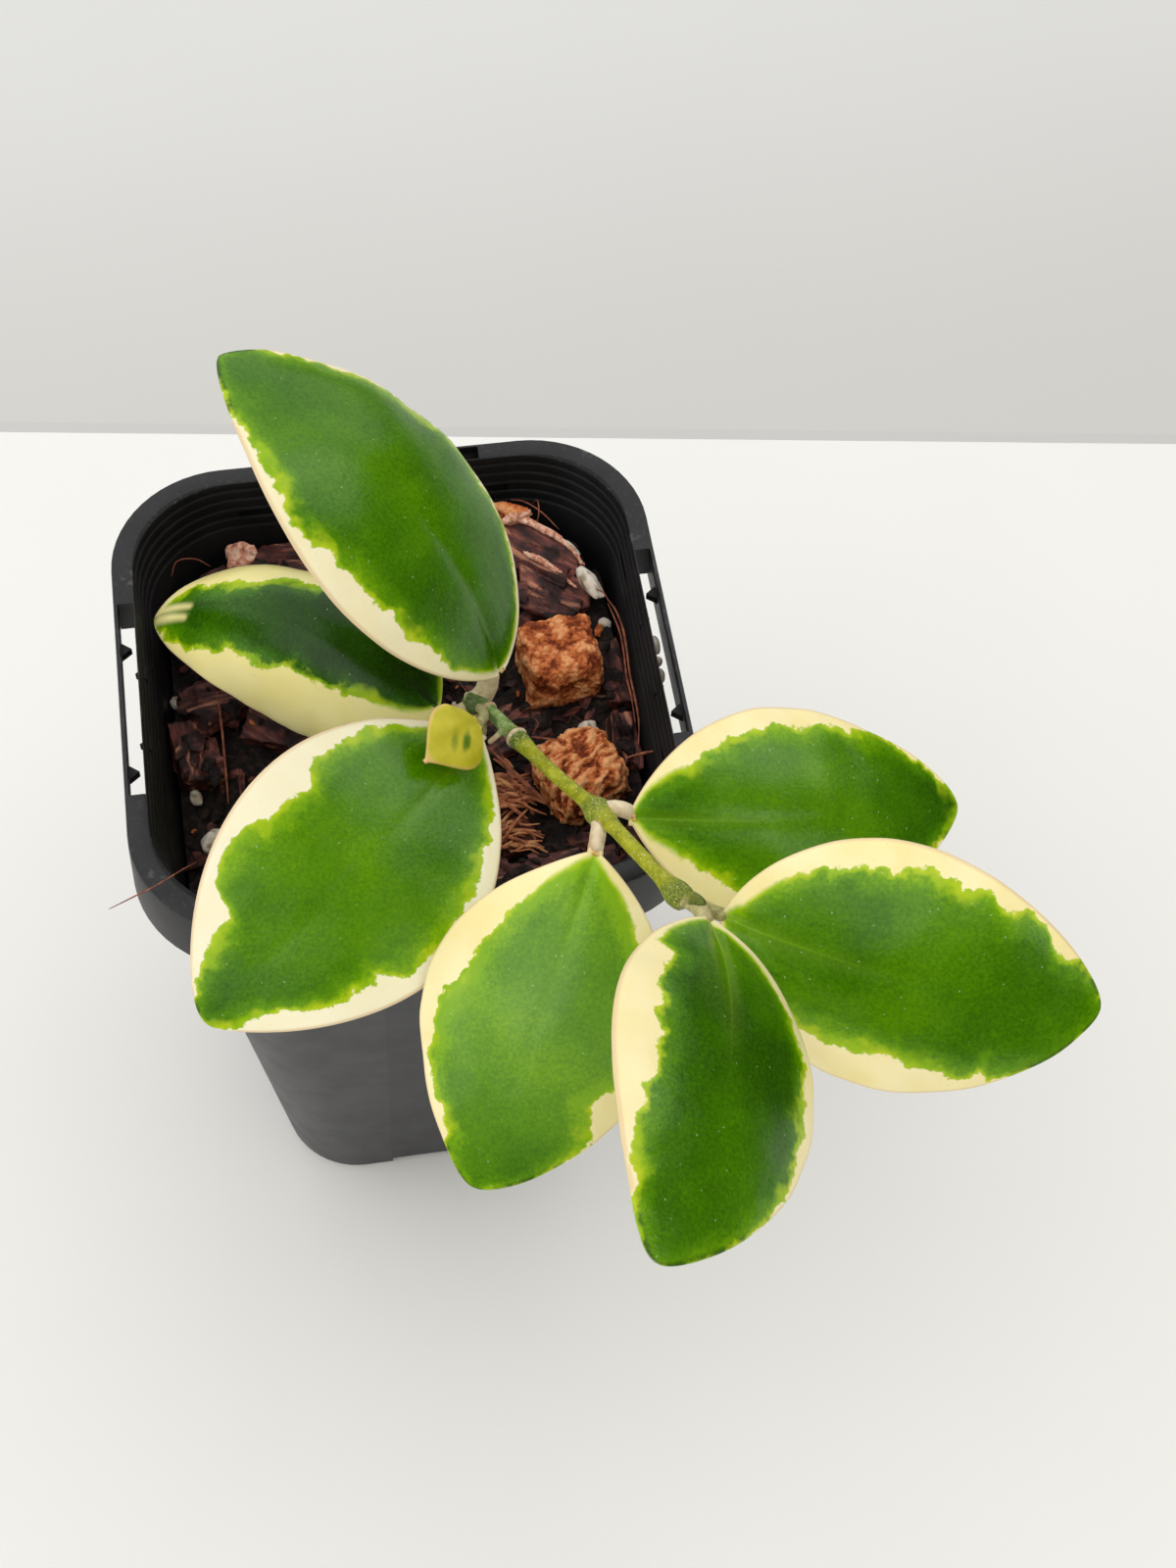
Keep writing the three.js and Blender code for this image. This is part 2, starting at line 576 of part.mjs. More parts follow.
let nearStem = stemSpace;
for (const leaf of LEAVES) {
  addPiece(leaf.name, wholeLeaf(leaf, 0).subtract(nearStem), isYoung(leaf) ? 'young' : 'leaf');
  nearStem = nearStem.add(wholeLeaf(leaf, GAP));
}

const mouth = insideOfMouth();
let taken = stemSpace;
CHIPS.forEach((piece, i) => {
  const seed = FIRST_CHIP_SEED + i;
  addPiece(piece.name, solidOf(chip(piece, seed, 0)).subtract(taken).intersect(mouth), kindOf(piece));
  taken = taken.add(solidOf(chip(piece, seed, GAP)));
});
SLOT_GRAINS.forEach((piece, i) => {
  addPiece(piece.name, solidOf(chip(piece, FIRST_GRAIN_SEED + i, 0)), kindOf(piece));
});
addPiece('potting_mix', pottingMix().subtract(taken), 'mix');

export default plant;
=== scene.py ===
"""Variegated hoya cutting in a square nursery pot: the looks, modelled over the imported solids."""
import functools
import math
import random

import bmesh
import bpy
from mathutils import Matrix, Vector, kdtree, noise
from mathutils.bvhtree import BVHTree


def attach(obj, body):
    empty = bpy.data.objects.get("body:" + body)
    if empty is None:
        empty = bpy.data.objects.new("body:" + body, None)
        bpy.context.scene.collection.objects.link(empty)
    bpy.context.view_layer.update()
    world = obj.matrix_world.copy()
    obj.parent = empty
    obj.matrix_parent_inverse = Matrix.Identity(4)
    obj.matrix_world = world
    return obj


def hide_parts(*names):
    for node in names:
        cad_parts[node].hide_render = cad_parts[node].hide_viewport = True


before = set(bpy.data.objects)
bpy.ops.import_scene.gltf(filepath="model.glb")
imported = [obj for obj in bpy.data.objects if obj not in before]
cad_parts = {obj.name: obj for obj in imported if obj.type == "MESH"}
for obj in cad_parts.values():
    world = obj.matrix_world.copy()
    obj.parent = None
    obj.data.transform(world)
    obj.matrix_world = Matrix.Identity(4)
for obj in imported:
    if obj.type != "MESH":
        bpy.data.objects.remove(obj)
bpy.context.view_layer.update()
bpy.ops.object.select_all(action="DESELECT")

# Pot. One thin black polypropylene moulding, tapered, square with round corners. A flat rim carries
# a short hanging skirt and a toothed label slot on each side, and fine steps ring the inside of the
# mouth. It is injection moulded in one shot, so nothing on it is fixed on.
MM = 0.001
POT_HEIGHT = 125
RIM_HALF = 42.5
RIM_CORNER = 18.3
RIM_ROUND = 0.5
SKIRT_BOTTOM = 114
SKIRT_FLARE = 0.5
SKIRT_WALL = 0.8
SKIRT_TIP_WALL = 0.4
FLANGE_BOTTOM = 124
MOUTH_HALF = 39.1
MOUTH_STEPS = 5
MOUTH_STEP_HEIGHT = 1.9
MOUTH_STEP_IN = 0.3
WALL_TOP_HALF = 39.5
WALL_SKIRT_HALF = 38.4
BASE_HALF = 28
BASE_CORNER = 14
BASE_ROUND = 0.8
FLOOR_TOP = 4
FLOOR_HALF = 27
SIDE_POINTS = 5
CORNER_STEPS = 14
SLOT_INNER = 39.4
SLOT_OUTER = 41.85
SLOT_HALF_LENGTH = 17.5
SLOT_CUT_HEIGHT = 2.4
SLOT_CUT_DROP = 0.4
RIB_THICK = 0.8
RIB_LENGTH = 3
RIB_MIDDLE = 40.6
RIB_BOTTOM = 118.5
RIB_SINK = 0.3
RIB_STEP_AT = 120
RIB_INNER_LOW = 38.2
RIB_INNER_HIGH = 39.4
RECESS_HALF_WIDTH = 9
RECESS_DEPTH = 12
RECESS_HEIGHT = 2.5
DRAIN_HALF_LENGTH = 5
DRAIN_HALF_WIDTH = 1.75
DRAIN_FROM_EDGE = 8
DRAIN_CUT_LIFT = 0.5
OUTER_TOOTH = {"at": 11.3, "root": 42.3, "tip": 40.4, "half": 1.5}
INNER_TOOTH = {"at": 6.5, "root": 38.4, "tip": 40.1, "half": 1.3}
TOOTH_BOTTOM = 120.2
TOOTH_TOP = 121.6


def square_ring(half, corner, z):
    """Points round a square with round corners, in millimetres, turning left seen from above."""
    ring = []
    straight = half - corner
    for quarter in range(4):
        turn = Matrix.Rotation(quarter * math.pi / 2, 3, "Z")
        for i in range(1, SIDE_POINTS + 1):
            ring.append(turn @ Vector((half, straight * (2 * i / (SIDE_POINTS + 1) - 1), z)))
        for i in range(CORNER_STEPS + 1):
            angle = i / CORNER_STEPS * math.pi / 2
            x = straight + corner * math.cos(angle)
            y = straight + corner * math.sin(angle)
            ring.append(turn @ Vector((x, y, z)))
    return ring


def rim_corner(half):
    """Corner radius that keeps a line a fixed way inside the rim's own."""
    return RIM_CORNER - (RIM_HALF - half) * 0.5


def extrude_through(name, rings):
    """Closed skin: a circle is shaped to the first ring, and its edge extruded through the others."""
    bpy.ops.mesh.primitive_circle_add(vertices=len(rings[0]), radius=MM, fill_type="NGON")
    piece = bpy.context.active_object
    piece.name = name
    bpy.ops.object.mode_set(mode="EDIT")
    mesh = bmesh.from_edit_mesh(piece.data)
    column = mesh.verts.layers.int.new("column")
    for i, point in enumerate(mesh.verts):
        point[column] = i
        point.co = rings[0][i] * MM
    for ring in rings[1:]:
        bpy.ops.mesh.extrude_edges_move()
        mesh = bmesh.from_edit_mesh(piece.data)
        column = mesh.verts.layers.int["column"]
        for point in mesh.verts:
            if point.select:
                point.co = ring[point[column]] * MM
    bpy.ops.mesh.edge_face_add()
    bpy.ops.mesh.select_all(action="SELECT")
    bpy.ops.mesh.normals_make_consistent(inside=False)
    bpy.ops.object.mode_set(mode="OBJECT")
    return piece


def box(size, middle, spin=0.0):
    """A block with its place in its mesh, turned about the pot's axis."""
    bpy.ops.mesh.primitive_cube_add(size=MM)
    made = bpy.context.active_object
    turn = Matrix.Rotation(spin, 4, "Z")
    made.data.transform(turn @ Matrix.Translation(Vector(middle) * MM) @ Matrix.Diagonal((*size, 1)))
    return made


def tooth(shape, end, spin):
    """A block whose inner edge is pinched to the tooth's point."""
    depth = TOOTH_TOP - TOOTH_BOTTOM
    made = box((1, 1, depth), (0, 0, TOOTH_BOTTOM + depth / 2))
    for point in made.data.vertices:
        at_tip = point.co.x > 0
        side = math.copysign(0 if at_tip else shape["half"], point.co.y)
        point.co.x = (shape["tip"] if at_tip else shape["root"]) * MM
        point.co.y = (end * shape["at"] + side) * MM
    made.data.transform(Matrix.Rotation(spin, 4, "Z"))
    return tidy_skin(made)


def tidy_skin(piece):
    """Merges doubles and turns every face outwards."""
    bpy.ops.object.select_all(action="DESELECT")
    bpy.context.view_layer.objects.active = piece
    bpy.ops.object.mode_set(mode="EDIT")
    bpy.ops.mesh.select_all(action="SELECT")
    bpy.ops.mesh.remove_doubles(threshold=1e-6)
    bpy.ops.mesh.normals_make_consistent(inside=False)
    bpy.ops.object.mode_set(mode="OBJECT")
    return piece


def join(pieces, name):
    bpy.ops.object.select_all(action="DESELECT")
    for piece in pieces:
        piece.select_set(True)
    bpy.context.view_layer.objects.active = pieces[0]
    bpy.ops.object.join()
    pieces[0].name = name
    pieces[0].select_set(False)
    return pieces[0]


def apply_modifier(piece, kind, **settings):
    bpy.context.view_layer.objects.active = piece
    modifier = piece.modifiers.new("step", kind)
    for setting, value in settings.items():
        setattr(modifier, setting, value)
    bpy.ops.object.modifier_apply(modifier=modifier.name)
    return piece


def cut_or_join(piece, tool, operation):
    apply_modifier(piece, "BOOLEAN", object=tool, operation=operation, solver="EXACT")
    bpy.data.objects.remove(tool)


def pot_profile():
    """Rings from the underside up the outside, over the rim and down the inside to the floor."""
    skirt = RIM_HALF + SKIRT_FLARE
    base_in = BASE_HALF - BASE_ROUND
    rings = [
        square_ring(base_in, BASE_CORNER - BASE_ROUND, 0),
        square_ring(base_in + BASE_ROUND * 0.7, BASE_CORNER - BASE_ROUND * 0.3, BASE_ROUND * 0.3),
        square_ring(BASE_HALF, BASE_CORNER, BASE_ROUND),
        square_ring(WALL_SKIRT_HALF, rim_corner(WALL_SKIRT_HALF), SKIRT_BOTTOM),
        square_ring(WALL_TOP_HALF, rim_corner(WALL_TOP_HALF), FLANGE_BOTTOM),
    ]
    outer = [
        (RIM_HALF - SKIRT_WALL, FLANGE_BOTTOM),
        (skirt - SKIRT_TIP_WALL, SKIRT_BOTTOM + 0.2),
        (skirt - SKIRT_TIP_WALL / 2, SKIRT_BOTTOM),
        (skirt, SKIRT_BOTTOM + 0.2),
        (RIM_HALF, POT_HEIGHT - RIM_ROUND),
        (RIM_HALF - RIM_ROUND * 0.3, POT_HEIGHT - RIM_ROUND * 0.3),
        (RIM_HALF - RIM_ROUND, POT_HEIGHT),
        (MOUTH_HALF + RIM_ROUND, POT_HEIGHT),
        (MOUTH_HALF + RIM_ROUND * 0.3, POT_HEIGHT - RIM_ROUND * 0.3),
        (MOUTH_HALF, POT_HEIGHT - RIM_ROUND),
    ]
    for step in range(1, MOUTH_STEPS + 1):
        z = POT_HEIGHT - step * MOUTH_STEP_HEIGHT
        above = MOUTH_HALF - (step - 1) * MOUTH_STEP_IN
        below = above - MOUTH_STEP_IN
        outer += [(above, z + MOUTH_STEP_IN * 1.2), (below + 0.05, z + 0.1), (below, z - 0.1)]
    rings += [square_ring(half, rim_corner(half), z) for half, z in outer]
    rings.append(square_ring(FLOOR_HALF, BASE_CORNER - 1, FLOOR_TOP))
    return rings


def rib(end, spin):
    """A web that ties the skirt to the wall below one end of a slot."""
    high = FLANGE_BOTTOM + RIB_SINK
    middle = (RIB_MIDDLE, end * (SLOT_HALF_LENGTH + RIB_THICK / 2), (RIB_BOTTOM + high) / 2)
    made = box((RIB_LENGTH, RIB_THICK, high - RIB_BOTTOM), middle)
    for point in made.data.vertices:
        if point.co.x < RIB_MIDDLE * MM:
            point.co.x = (RIB_INNER_LOW if point.co.z < RIB_STEP_AT * MM else RIB_INNER_HIGH) * MM
    made.data.transform(Matrix.Rotation(spin, 4, "Z"))
    return made


pot = extrude_through("pot_moulding", pot_profile())
cutters = []
webs = []
slot_size = (SLOT_OUTER - SLOT_INNER, 2 * SLOT_HALF_LENGTH, SLOT_CUT_HEIGHT)
slot_x = (SLOT_INNER + SLOT_OUTER) / 2
recess_size = (2 * RECESS_DEPTH, 2 * RECESS_HALF_WIDTH, 2 * RECESS_HEIGHT)
drain_size = (2 * DRAIN_HALF_WIDTH, 2 * DRAIN_HALF_LENGTH, 2 * FLOOR_TOP)
for side in range(4):
    spin = side * math.pi / 2
    cutters.append(box(slot_size, (slot_x, 0, POT_HEIGHT - SLOT_CUT_DROP), spin))
    cutters.append(box(recess_size, (BASE_HALF, 0, 0), spin))
    cutters.append(box(drain_size, (BASE_HALF - DRAIN_FROM_EDGE, 0, FLOOR_TOP + DRAIN_CUT_LIFT), spin))
    for end in (-1, 1):
        webs.append(rib(end, spin))
        webs.append(tooth(OUTER_TOOTH, end, spin))
        webs.append(tooth(INNER_TOOTH, end, spin))
for cutter in cutters:
    cut_or_join(pot, cutter, "DIFFERENCE")
cut_or_join(pot, join(webs, "webs"), "UNION")
tidy_skin(pot)


def tint(red, green, blue):
    """A colour as it is read off a screen, from 0 to 255, in the renderer's linear values."""
    shares = [c / 255 for c in (red, green, blue)]
    return [c / 12.92 if c < 0.04045 else ((c + 0.055) / 1.055) ** 2.4 for c in shares] + [1]


def new_finish(name, **sockets):
    """A material with constant values set on its shader's sockets."""
    made = bpy.data.materials.new(name)
    made.use_nodes = True
    shader = made.node_tree.nodes["Principled BSDF"]
    for socket, value in sockets.items():
        shader.inputs[socket.replace("_", " ")].default_value = value
    return made, made.node_tree, shader


def node(tree, kind, inputs=(), **settings):
    """One shader node. An input that is a socket is linked, and any other is set."""
    made = tree.nodes.new(kind)
    for setting, value in settings.items():
        setattr(made, setting, value)
    for socket, value in dict(inputs).items():
        if isinstance(value, bpy.types.NodeSocket):
            tree.links.new(value, made.inputs[socket])
        else:
            made.inputs[socket].default_value = value
    return made


def place(tree, stretch=(1, 1, 1)):
    """Object coordinates in millimetres, stretched for a pattern that runs along an axis."""
    where = node(tree, "ShaderNodeTexCoord").outputs["Object"]
    scale = [s / MM for s in stretch]
    return node(tree, "ShaderNodeMapping", {"Vector": where, "Scale": scale}).outputs["Vector"]


def grain(tree, where, size, detail=2.0, rough=0.5):
    """Cloudy noise from 0 to 1 with lumps of that size in millimetres."""
    inputs = {"Vector": where, "Scale": 1 / size, "Detail": detail, "Roughness": rough}
    return node(tree, "ShaderNodeTexNoise", inputs).outputs["Fac"]


def sums(tree, operation, first, second=0.0, clamp=False):
    inputs = {0: first, 1: second}
    return node(tree, "ShaderNodeMath", inputs, operation=operation, use_clamp=clamp).outputs[0]


def fade(tree, value, low, high, to_low=0.0, to_high=1.0):
    """Smooth change from to_low to to_high as value goes from low to high."""
    inputs = {"Value": value, "From Min": low, "From Max": high, "To Min": to_low, "To Max": to_high}
    return node(tree, "ShaderNodeMapRange", inputs, interpolation_type="SMOOTHSTEP").outputs["Result"]


def ramp(tree, value, stops):
    """Colours along a value from 0 to 1, given as (position, colour)."""
    made = node(tree, "ShaderNodeValToRGB", {"Fac": value})
    points = made.color_ramp.elements
    while len(points) < len(stops):
        points.new(1)
    for point, (at, colour) in zip(points, stops):
        point.position = at
        point.color = colour
    return made.outputs["Color"]


def blend(tree, share, first, second, mode="MIX"):
    made = node(tree, "ShaderNodeMix", data_type="RGBA", blend_type=mode)
    for socket, value in ((made.inputs[0], share), (made.inputs[6], first), (made.inputs[7], second)):
        if isinstance(value, bpy.types.NodeSocket):
            tree.links.new(value, socket)
        else:
            socket.default_value = value
    return made.outputs[2]


def relief(tree, shader, height, depth, under=None):
    """Bump of that depth in millimetres from a height of 0 to 1, over an earlier bump if given."""
    inputs = {"Height": height, "Distance": depth * MM, "Strength": 1.0}
    if under is not None:
        inputs["Normal"] = under
    normal = node(tree, "ShaderNodeBump", inputs).outputs["Normal"]
    tree.links.new(normal, shader.inputs["Normal"])
    return normal


def dress(piece, finish, slot, smooth=35):
    """Gives a piece its one finish, smooths it below an angle, and fixes it to the model."""
    piece.data.materials.clear()
    piece.data.materials.append(finish)
    bpy.ops.object.select_all(action="DESELECT")
    piece.select_set(True)
    bpy.context.view_layer.objects.active = piece
    bpy.ops.object.shade_smooth_by_angle(angle=math.radians(smooth))
    piece.select_set(False)
    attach(piece, "root")
    return piece


plastic, tree, shader = new_finish("black_polypropylene", Roughness=0.42, Specular_IOR_Level=0.5)
where = place(tree)
spot = node(tree, "ShaderNodeSeparateXYZ", {0: where})
height = spot.outputs["Z"]
on_top = fade(tree, height, 124.3, 124.9)
beyond = []
for axis in "XY":
    gap = sums(tree, "SUBTRACT", sums(tree, "ABSOLUTE", spot.outputs[axis]), RIM_HALF - RIM_CORNER)
    beyond.append(sums(tree, "MAXIMUM", gap, 0))
from_middle = node(tree, "ShaderNodeCombineXYZ", {0: beyond[0], 1: beyond[1]}).outputs[0]
from_middle = node(tree, "ShaderNodeVectorMath", {0: from_middle}, operation="LENGTH").outputs["Value"]
# Below the skirt the outer wall is painted a lighter grey: painted light, for the light the white floor
# throws back onto it.
lit_lower_wall = fade(tree, height, 104, 114, 1, 0)
mouth_edge = MOUTH_HALF - RIM_HALF + RIM_CORNER
inside = sums(tree, "SUBTRACT", fade(tree, from_middle, mouth_edge, mouth_edge + 0.4, 1, 0), lit_lower_wall, True)
black = blend(tree, lit_lower_wall, tint(17, 17, 21), tint(36, 35, 39))
# Inside the mouth, above the mix, the plastic is painted nearly black: painted shade inside the pot.
black = blend(tree, inside, black, tint(7, 7, 10))
base = blend(tree, fade(tree, grain(tree, where, 9, 3, 0.5), 0.35, 0.7, 0, 0.25), black, tint(40, 40, 44))
scuffs = sums(tree, "MULTIPLY", fade(tree, grain(tree, where, 0.7, 4, 0.75), 0.56, 0.72), on_top)
rubbed = sums(tree, "MULTIPLY", fade(tree, grain(tree, where, 6, 4, 0.7), 0.6, 0.68), on_top)
worn = blend(tree, sums(tree, "MULTIPLY", scuffs, 0.16), base, tint(120, 120, 122))
worn = blend(tree, sums(tree, "MULTIPLY", rubbed, 0.14), worn, tint(150, 150, 152))
tree.links.new(worn, shader.inputs["Base Color"])
sheen_patches = fade(tree, grain(tree, where, 7, 3, 0.6), 0.3, 0.7, 0.42, 0.48)
matt_inside = sums(tree, "MAXIMUM", sheen_patches, sums(tree, "MULTIPLY", inside, 0.75))
tree.links.new(matt_inside, shader.inputs["Roughness"])
fine = relief(tree, shader, grain(tree, where, 0.35, 3, 0.6), 0.012)
relief(tree, shader, grain(tree, where, 20, 1), 0.06, fine)
dress(pot, plastic, "pot_plastic", 30)
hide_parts("pot")

# Potting mix. A coarse orchid mix of bark, husk and pumice, and the dark fine matter that settles
# between the chips, painted near black also as painted shade in the gaps. It is poured in and pressed
# round the roots, and fills the pot.
MIX_GAP = 0.35
MOUTH_BOTTOM = POT_HEIGHT - MOUTH_STEPS * MOUTH_STEP_HEIGHT
MOUTH_BOTTOM_HALF = MOUTH_HALF - MOUTH_STEPS * MOUTH_STEP_IN
MIX_LEVEL = 106.5
MIX_SLOPE_X = 0.06
MIX_SLOPE_Y = 0.04
MIX_EDGE_LEVEL = 100.5
MIX_RINGS = 46
MIX_ROUGH = 0.9


def inside_ring(z, inset):
    """Ring just inside the wall at a height."""
    share = (z - FLOOR_TOP) / (MOUTH_BOTTOM - FLOOR_TOP)
    half = FLOOR_HALF + (MOUTH_BOTTOM_HALF - FLOOR_HALF) * share
    corner = BASE_CORNER - 1 + (rim_corner(MOUTH_BOTTOM_HALF) - BASE_CORNER + 1) * share
    return square_ring(half - inset, corner - inset, z)


def mix_level(x, y):
    """Level of the fine matter between the chips, in millimetres."""
    lumps = 1.1 * math.sin(0.42 * x + 1) * math.cos(0.38 * y)
    lumps += 0.8 * math.sin(0.8 * x - 0.65 * y + 2)
    lumps += 0.5 * math.cos(1.1 * y + 0.5 * x)
    return MIX_LEVEL + MIX_SLOPE_X * x + MIX_SLOPE_Y * y + lumps


def mix_top(share):
    """Ring of the uneven top, drawn in from the wall by a share."""
    ring = []
    for point in inside_ring(MIX_EDGE_LEVEL, MIX_GAP):
        x, y = point.x * share, point.y * share
        rough = noise.fractal(Vector((x, y, 0)) * 0.6, 1.0, 2.0, 4)
        ring.append(Vector((x, y, mix_level(x, y) + MIX_ROUGH * rough)))
    return ring


mix_rings = [inside_ring(FLOOR_TOP + MIX_GAP, MIX_GAP), inside_ring(MIX_EDGE_LEVEL, MIX_GAP)]
mix_rings += [mix_top(1 - i / MIX_RINGS) for i in range(MIX_RINGS)]
mix = extrude_through("mix_bed", mix_rings)

humus, tree, shader = new_finish("dark_fines", Roughness=0.95)
where = place(tree)
# The fines are painted near black: partly their own dark colour, partly painted shade in the gaps between
# the chips.
stops = [(0.3, tint(10, 6, 5)), (0.5, tint(24, 15, 12)), (0.62, tint(58, 34, 25)), (0.75, tint(20, 13, 11))]
tree.links.new(ramp(tree, grain(tree, where, 1.1, 5, 0.7), stops), shader.inputs["Base Color"])
relief(tree, shader, grain(tree, where, 0.7, 4, 0.7), 0.5)
dress(mix, humus, "mix_fines", 60)
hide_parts("potting_mix")

# Chips. Crumbly orange blocks of coconut husk, layered plates of dark red-brown bark, rounded
# grains of pale pumice and a tuft of coir. Each is broken to its shape and lies where it fell.
CHIP_KINDS = ("coco", "bark", "pumice", "coir")
HUSK_SEED = 5
GRAIN_OF_KIND = {"coco": 0.27, "bark": 0.34, "pumice": 0.26, "coir": 0.3}


def lattice(node_name):
    """Middle and axes of a chip, longest first, from the spread of its corners."""
    corners = [v.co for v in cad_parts[node_name].data.vertices]
    middle = sum(corners, Vector()) / len(corners)
    spread = Matrix(((0, 0, 0), (0, 0, 0), (0, 0, 0)))
    for corner in corners:
        away = corner - middle
        for i in range(3):
            for j in range(3):
                spread[i][j] += away[i] * away[j]
    axis = Vector((1, 0.3, 0.1)).normalized()
    for _ in range(30):
        axis = (spread @ axis).normalized()
    flat = spread.inverted_safe()
    thin = axis.orthogonal().normalized()
    for _ in range(30):
        thin = (flat @ thin).normalized()
    thin = (thin - axis * thin.dot(axis)).normalized()
    return middle, (axis, thin.cross(axis), thin)


noise.seed_set(HUSK_SEED)


def crumbly(local):
    """Coconut husk, cut face: packed grains of pith a millimetre across, with seams between them."""
    near, next_near = noise.voronoi(local * 0.95 + noise.noise_vector(local * 0.5) * 0.5)[0][:2]
    seams = min(0.45, next_near - near) - 0.3
    return 0.8 * seams + 0.75 * noise.fractal(local * 0.42, 1.0, 2.0, 4)


def flaky(local):
    """Coconut husk, torn face: short thin flakes that lie over each other, long one way."""
    astray = local + noise.noise_vector(local * 0.35) * 1.2
    flakes = noise.fractal(Vector((astray.x * 0.95, astray.y * 0.3, astray.z * 0.55)), 0.8, 2.0, 4)
    steps = abs(noise.noise(Vector((astray.x * 0.5, astray.y * 0.2, astray.z * 0.3))))
    return 1.1 * flakes - 1.3 * steps + 0.3


def layered(local):
    """Bark: thick plates broken back one behind the other, a little splintered along the grain."""
    warp = 0.9 * noise.noise(Vector((local.x * 0.1, local.y * 0.22, 3)))
    step = (local.z * 0.42 + local.y * 0.16 + warp) % 1.0
    splinters = noise.fractal(Vector((local.x * 0.08, local.y * 0.7, local.z * 0.7)), 1.0, 2.0, 4)
    return 0.55 * splinters - 0.7 * step ** 4


def pitted(local):
    """Pumice: a rounded grain with small open pores."""
    pores = noise.voronoi(local * 1.1)[0][0]
    return 0.25 * noise.noise(local * 0.7) - 0.3 * max(0.0, 0.32 - pores)


def matted(local):
    """Coir pith: fine matter that stringy fibres bind."""
    return 0.6 * noise.fractal(Vector((local.x * 0.3, local.y * 1.4, local.z * 1.4)), 1.0, 2.0, 3)


SURFACES = {"coco": crumbly, "bark": layered, "pumice": pitted, "coir": matted}
BLOCK_SHRINK = 0.9
BLOCKS = {
    "coco_chip_1": ((13.5, 13, 11), 0.1, 6), "coco_chip_2": ((15, 14, 12), 0.35, 3.6),
    "coco_chip_3": ((11, 10, 8), 1.2, 5), "coco_chip_4": ((12, 11, 8), 0.4, 5),
    "coir_tuft": ((7, 8, 3), 0.2, 3),
}
LONG_GRAINS = {
    "pumice_side": (-1.18, (1.55, 0.72, 0.8), (0, -0.3, 3)),
    "pumice_back": (-0.95, (1.25, 0.7, 0.9), (0, -1.3, 3.6)),
}
TORN_CHIPS = ("coco_chip_2", "coco_chip_4")
TORN_AXES = (Vector((0.75, -0.66, 0.1)), Vector((0.66, 0.75, 0)), Vector((0, 0, 1)))


def add_values(piece, **kinds):
    """Named values at every corner of a piece, which its material reads."""
    for name, kind in kinds.items():
        piece.data.attributes.new(name, kind, "POINT")
    return [piece.data.attributes[name].data for name in kinds]


def squared(size, turn, power, away):
    """A rounded place pushed out towards a block's faces and corners."""
    local = Matrix.Rotation(-turn, 3, "Z") @ away
    shares = [abs(c) / (s / 2) for c, s in zip(local, size)]
    round_reach = math.sqrt(sum(c * c for c in shares))
    block_reach = sum(c ** power for c in shares) ** (1 / power)
    return away * (1 + (round_reach / max(block_reach, 1e-6) - 1) * 0.85) * BLOCK_SHRINK


def break_up(piece, surface, middle, axes, reshape=None):
    """Raises and sinks a finely meshed piece the way its kind of surface goes."""
    heights, places = add_values(piece, height="FLOAT", local="FLOAT_VECTOR")
    seed = Vector((len(piece.name), middle.x, middle.y)) * 7
    moved = []
    for point in piece.data.vertices:
        away = (point.co - middle) / MM
        local = Vector([away.dot(axis) for axis in axes])
        rise = surface(local + seed)
        heights[point.index].value = rise
        places[point.index].vector = local + seed
        if reshape:
            away = reshape(away)
        moved.append(middle + (away + point.normal * rise * 0.55) * MM)
    for point, co in zip(piece.data.vertices, moved):
        point.co = co


def drawn_out(turn, stretch, shift, away):
    """A grain drawn out along a level heading and moved."""
    local = Matrix.Rotation(-turn, 3, "Z") @ away
    local = Vector([c * s for c, s in zip(local, stretch)])
    return Matrix.Rotation(turn, 3, "Z") @ local + Vector(shift)


def chip(node_name):
    """A merged copy of the chip's solid, remeshed finely and broken up the way its kind is."""
    kind = node_name.split("_")[0]
    piece = bpy.data.objects.new(node_name + "_rough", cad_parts[node_name].data.copy())
    bpy.context.scene.collection.objects.link(piece)
    tidy_skin(piece)
    apply_modifier(piece, "REMESH", mode="VOXEL", voxel_size=GRAIN_OF_KIND[kind] * MM)
    apply_modifier(piece, "SMOOTH", factor=0.5, iterations=3 if kind == "bark" else 6)
    middle, axes = lattice(node_name)
    surface = SURFACES[kind]
    reshape = None
    if node_name in TORN_CHIPS:
        axes = TORN_AXES
        surface = flaky
    if node_name in BLOCKS:
        reshape = functools.partial(squared, *BLOCKS[node_name])
    if node_name in LONG_GRAINS:
        reshape = functools.partial(drawn_out, *LONG_GRAINS[node_name])
    break_up(piece, surface, middle, axes, reshape)
    return piece


def plate(name, outline, thick):
    """A broken flat piece: its outline, extruded down, remeshed finely and broken up."""
    bpy.ops.mesh.primitive_circle_add(vertices=len(outline), radius=MM, fill_type="NGON")
    piece = bpy.context.active_object
    piece.name = name
    for point, corner in zip(piece.data.vertices, outline):
        point.co = Vector(corner) * MM
    bpy.ops.object.mode_set(mode="EDIT")
    bpy.ops.mesh.select_all(action="SELECT")
    bpy.ops.mesh.extrude_region_move(TRANSFORM_OT_translate={"value": (0, 0, -thick * MM)})
    bpy.ops.object.mode_set(mode="OBJECT")
    tidy_skin(piece)
    apply_modifier(piece, "REMESH", mode="VOXEL", voxel_size=GRAIN_OF_KIND["bark"] * MM)
    apply_modifier(piece, "SMOOTH", factor=0.5, iterations=2)
    corners = [Vector(corner) * MM for corner in outline]
    middle = sum(corners, Vector()) / len(corners)
    along = max((a - b for a in corners for b in corners), key=lambda way: way.length).normalized()
    flat = (corners[1] - corners[0]).cross(corners[2] - corners[0]).normalized()
    across = flat.cross(along).normalized()
    break_up(piece, layered, middle, (along, across, flat))
    return piece


def attribute(tree, name, output="Fac"):
    """A value that a piece carries at its corners."""
    return node(tree, "ShaderNodeAttribute", attribute_name=name).outputs[output]


